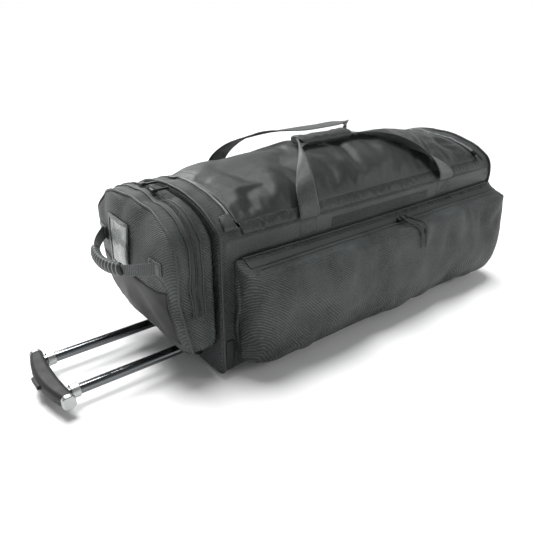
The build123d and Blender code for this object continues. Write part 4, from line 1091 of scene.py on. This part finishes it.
far_left = [
    (-207, 167.4, 285, 25, 0, 0), (-206, 166.5, 298, 25, 0, 0), (-204, 161, 318, 25, 0, 1),
    (-192, 146, 348, 24, -3, 2), (-170, 120, 374, 20, -10, 5), (-140, 84, 392, 12, -18, 8),
    (-108, 52, 400, 4, -20, 4), (-60, 34, 402, 0, -19, 0), (0, 30, 402.5, 0, -19, 0),
]
far_right = [
    (0, 30, 402.5, 0, -19, 0), (44, 32, 403, 0, -19, 0), (84, 44, 401, -3, -19, 4),
    (124, 72, 390, -9, -17, 9), (162, 108, 370, -16, -12, 9), (194, 142, 342, -22, -5, 5),
    (211, 160, 314, -25, -1, 1), (215, 167.4, 285, -25, 0, 0),
]
far_strap_left = ribbon("far_strap_left_leg", far_left, 2.2, band_cloth, "far_handle")
ribbon("far_strap_right_leg", far_right, 2.2, band_cloth, "far_handle")
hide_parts("far_handle_strap")
wrap_x = stations(-114, (-108, 3), (26, 30), (32, 3))
points = []
for x in wrap_x:
    near_end = min(x + 114, 32 - x)
    swell = 0.86 + 0.14 * min(1, near_end / 5)
    for turn in np.linspace(0, 2 * pi, 40, endpoint=False):
        y = 22.5 * np.sign(cos(turn)) * abs(cos(turn)) ** 0.75 * swell
        z = 9.6 * np.sign(sin(turn)) * abs(sin(turn)) ** 0.8 * swell
        points.append((x, -17 + y, 389 + z + 0.0004 * (x + 41) ** 2))
faces = grid_faces(len(wrap_x), 40, loop=True)
faces += [tuple(range(40)), tuple(range(len(points) - 40, len(points)))]
wrap = new_piece("handle_wrap_sleeve", points, faces, lid_nylon)
points, _ = read_points(wrap)
held = np.clip(1 - np.minimum(points[:, 0] + 114, 32 - points[:, 0]) / 6, 0, 1)
wrap_folds = [((x, -40, 394), (x + 8, 2, 398), 5, -1.4) for x in (-92, -60, -34, 4)]
crumple(wrap, folds=wrap_folds, rumples=((22, 2.4, 21), (9, 0.8, 22)), held=held)
settle(wrap, held, pressure=4.0, growth=0.0, limit=2)
thicken(wrap, 0)
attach(wrap, "near_handle")
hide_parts("handle_wrap")
flap = []
for t in np.linspace(-0.3, 1.15, 9):
    turn = pi * (1 + 0.34 * t)
    flap.append([(x, -17 + 30 * cos(turn), 389 + 17 * sin(turn)) for x in np.linspace(-110, 28, 36)])
laid = [lay_on(wrap, row, 0.5)[0] for row in flap]
patch("handle_wrap_flap", laid, 1.4, lid_nylon, "near_handle")
edge_line = [(x, y, 382) for x, y in [(k, -44) for k in np.linspace(-108, 26, 40)]]
path, ups = lay_on(wrap, edge_line, 1.9)
stitched("handle_wrap_thread", [path], [ups], "near_handle")

# End handle: a ribbed rubber grip moulded over a short webbing strap, held to the pocket's face by
# folded anchors with boxed thread.
droop = radians(14)
loop_radius = (112.0**2 + 60.0**2) / 120.0


def loop_place(degrees_round, off=0.0, out=0.0):
    """Returns a point on the end handle's loop, moved off its plane and out from its arc."""
    turn = radians(degrees_round)
    across = (loop_radius + out) * cos(turn)
    away = 60 - loop_radius + (loop_radius + out) * sin(turn)
    return (-496 - away * cos(droop) - off * sin(droop), across, 245 - away * sin(droop) + off * cos(droop))


# Dull black rubber.
grip_rubber = hard("moulded_grip_rubber", "#232626", 0.0, 0.55, 0.7, 0.2)
# Pale ribs that let the eye count them.
rib_rubber = hard("moulded_rib_rubber", "#7b8180", 0.0, 0.5, 0.7, 0.2)
points = []
grip_turns = np.linspace(64.3, 115.7, 41)
for turn in grip_turns:
    near_end = min(turn - 64.3, 115.7 - turn)
    size = 0.74 + 0.26 * min(1.0, near_end / 3) ** 0.5 + 0.05 * sin(pi * (turn - 64) / 52)
    for k in range(20):
        a = 2 * pi * k / 20
        points.append(loop_place(turn, off=12.4 * size * sin(a), out=8.4 * size * cos(a)))
faces = grid_faces(41, 20, loop=True) + [tuple(range(20)), tuple(range(800, 820))]
grip = new_piece("end_grip_moulding", points, faces, grip_rubber)
thicken(grip, 0)
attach(grip, "end_handle")
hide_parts("end_handle_grip")

ring_tree, entry = open_tree("row_of_ribs", Spacing="Float", Size="Vector", Finish="Material")
ring_line = add_node(ring_tree, "GeometryNodeMeshToCurve", {"Mesh": entry.outputs["Geometry"]})
ring_spots = add_node(
    ring_tree, "GeometryNodeResampleCurve",
    {"Curve": ring_line.outputs[0], "Length": entry.outputs["Spacing"]}, mode="LENGTH",
)
ring_path = add_node(ring_tree, "GeometryNodeCurvePrimitiveCircle", (), {"Radius": 1.0, "Resolution": 24})
ring_wire = add_node(ring_tree, "GeometryNodeCurvePrimitiveCircle", (), {"Radius": 0.12, "Resolution": 6})
ring_skin = add_node(
    ring_tree, "GeometryNodeCurveToMesh",
    {"Curve": ring_path.outputs["Curve"], "Profile Curve": ring_wire.outputs["Curve"]},
)
ring_way = add_node(ring_tree, "GeometryNodeInputTangent")
ring_up = add_node(ring_tree, "GeometryNodeInputNamedAttribute", **UP_ATTRIBUTE)
ring_turn = add_node(
    ring_tree, "FunctionNodeAxesToRotation",
    {"Primary Axis": ring_way.outputs[0], "Secondary Axis": ring_up.outputs[0]},
    primary_axis="Z", secondary_axis="Y",
)
rings = add_node(
    ring_tree, "GeometryNodeInstanceOnPoints",
    {
        "Points": ring_spots.outputs[0],
        "Instance": ring_skin.outputs[0],
        "Rotation": ring_turn.outputs[0],
        "Scale": entry.outputs["Size"],
    },
)
close_tree(ring_tree, entry, rings.outputs[0])
rib_path = [loop_place(turn) for turn in np.linspace(74, 113, 30)]
rib_up = [(-sin(droop), 0, cos(droop))] * 30
values = {"Spacing": 8.5 * MM, "Size": (8.6 * MM, 12.6 * MM, 11 * MM), "Finish": rib_rubber}
follow("end_grip_ribs", [rib_path], [rib_up], ring_tree, values, "end_handle")
for k, (low, high) in enumerate(((116.2, 143.5), (63.8, 36.5))):
    stops = []
    for turn in np.linspace(low, high, 6):
        x, y, z = loop_place(turn)
        stops.append((x, y, z, -12.3 * sin(droop), 0, 12.3 * cos(droop)))
    strap = ribbon(f"end_strap_{k}", stops, 2.4, band_cloth, "end_handle", sewn=False)
    if k == 0:
        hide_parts("end_handle_straps")
for k, y in enumerate((-112, 112)):
    rows = face_grid(y - 21, y + 21, 229, 261, 9, 8, 0.5)
    anchor = patch(f"end_anchor_{k}", rows, 1.8, band_cloth, "bag")
    if k == 0:
        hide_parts("end_handle_anchors")
    shape = [(-17, 233), (17, 233), (17, 257), (-17, 257), (-17, 234)]
    line = corner_line([on_face(y + a, z) for a, z in shape], 0.5, 4)
    path, ups = lay_on(anchor, line, 0.2)
    stitched(f"end_anchor_thread_{k}", [path], [ups], "bag", 3.6)

# Pull handle: drawn steel tubes with bright collars, and a bowed grip in two nylon mouldings with
# plated caps. The frame's own shapes stay and take their metals here.
# A mirror finish that runs a bright line along each tube.
drawn_tube = hard("polished_steel_tube", "#6a6d6f", 1.0, 0.14, 1.0, 0.03, wear=0.06)
# Satin silver that marks the ends of the tubes and grip.
bright_collar = hard("bead_blasted_aluminium", "#a9acab", 1.0, 0.36, 0.6, 0.2, wear=0.1)
# Soft black that keeps the grip quiet beside its bright caps.
grip_nylon = hard("soft_touch_grip_nylon", "#070808", 0.0, 0.62, 0.6, 0.12)
# Duller grey than the tubes that slide in it.
satin_tube = hard("anodised_outer_tube", "#6f7273", 1.0, 0.4, 0.8, 0.1)
finish_nodes(drawn_tube, "inner_tubes")
finish_nodes(satin_tube, "outer_tubes")
finish_nodes(bright_collar, "tube_collars", "grip_end_caps")
finish_nodes(grip_nylon, "grip_upper", "grip_lower", "release_button")

# Zipper sliders and pulls: cast zinc sliders in black enamel, each with a braided cord and a
# moulded tip for the fingers.
# Glossy black metal with a hard glint.
enamel = hard("black_enamelled_zinc", "#191b1b", 0.6, 0.3, 0.8, 0.1, coat=0.4)
# Matt black cord and tip.
cord_plastic = hard("braided_cord_and_tip", "#2b2e2e", 0.0, 0.4, 1.0, 0.5)
finish_nodes(
    enamel, "side_slider_left", "side_slider_right", "end_slider_near", "end_slider_far", "lid_slider"
)
finish_nodes(cord_plastic, "side_pull_left", "side_pull_right", "lid_pull")

# Studio: a pale floor under a white sky, one wide soft light behind and above, and the camera.
bpy.ops.mesh.primitive_plane_add(size=600)
floor = bpy.context.object
floor.name = "studio_floor"
floor_paint = hard("pale_floor_paint", "#f7f7f7", 0.0, 0.9, 20.0, 0.0, wear=0.0)
floor.data.materials.append(floor_paint)
floor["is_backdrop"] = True
sky = bpy.data.worlds.new("studio_sky")
scene.world = sky
sky.use_nodes = True
sky_tree = sky.node_tree
background = sky_tree.nodes["Background"]
background.inputs["Color"].default_value = (1.0, 1.0, 1.0, 1.0)
look_way = add_node(sky_tree, "ShaderNodeTexCoord").outputs["Generated"]
height = add_node(sky_tree, "ShaderNodeSeparateXYZ", {"Vector": look_way}).outputs["Z"]
fade = add_node(
    sky_tree, "ShaderNodeMapRange", {"Value": height},
    {"From Min": 0.22, "From Max": 0.4, "To Min": 1.0, "To Max": 0.2},
)
sky_tree.links.new(fade.outputs[0], background.inputs["Strength"])
sun = bpy.data.objects.new("overhead", bpy.data.lights.new("overhead", "SUN"))
sun.data.energy = 2.9
sun.data.angle = radians(26)
sun.rotation_euler = Vector((-0.05, -0.12, -1.0)).to_track_quat("-Z", "Y").to_euler()
scene.collection.objects.link(sun)
panels = {
    "far_side": ((-0.55, 1.5, 1.5), (-0.2, 0, 0.35), 0.7, 34),
    "near_side": ((1.3, -1.9, 1.3), (0.1, -0.2, 0.2), 0.7, 12),
}
for panel_name, (panel_place, panel_target, panel_size, panel_power) in panels.items():
    panel = bpy.data.objects.new(panel_name, bpy.data.lights.new(panel_name, "AREA"))
    panel.data.energy = panel_power
    panel.data.size = panel_size
    panel.location = panel_place
    panel.rotation_euler = (Vector(panel_target) - panel.location).to_track_quat("-Z", "Y").to_euler()
    scene.collection.objects.link(panel)
scene.view_settings.view_transform = "Standard"
camera = bpy.data.objects.new("camera", bpy.data.cameras.new("camera"))
scene.collection.objects.link(camera)
camera.data.lens = 37.02
camera_right = Vector((0.786079, -0.618125, 0.000597))
camera_up = Vector((0.262528, 0.334735, 0.905004))
camera_back = Vector((-0.559606, -0.711248, 0.425404))
turned = Matrix((camera_right, camera_up, camera_back)).transposed().to_4x4()
camera.matrix_world = Matrix.Translation((-0.873209, -0.881360, 0.640289)) @ turned
scene.camera = camera

# The object's size, with its looks.
low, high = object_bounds()
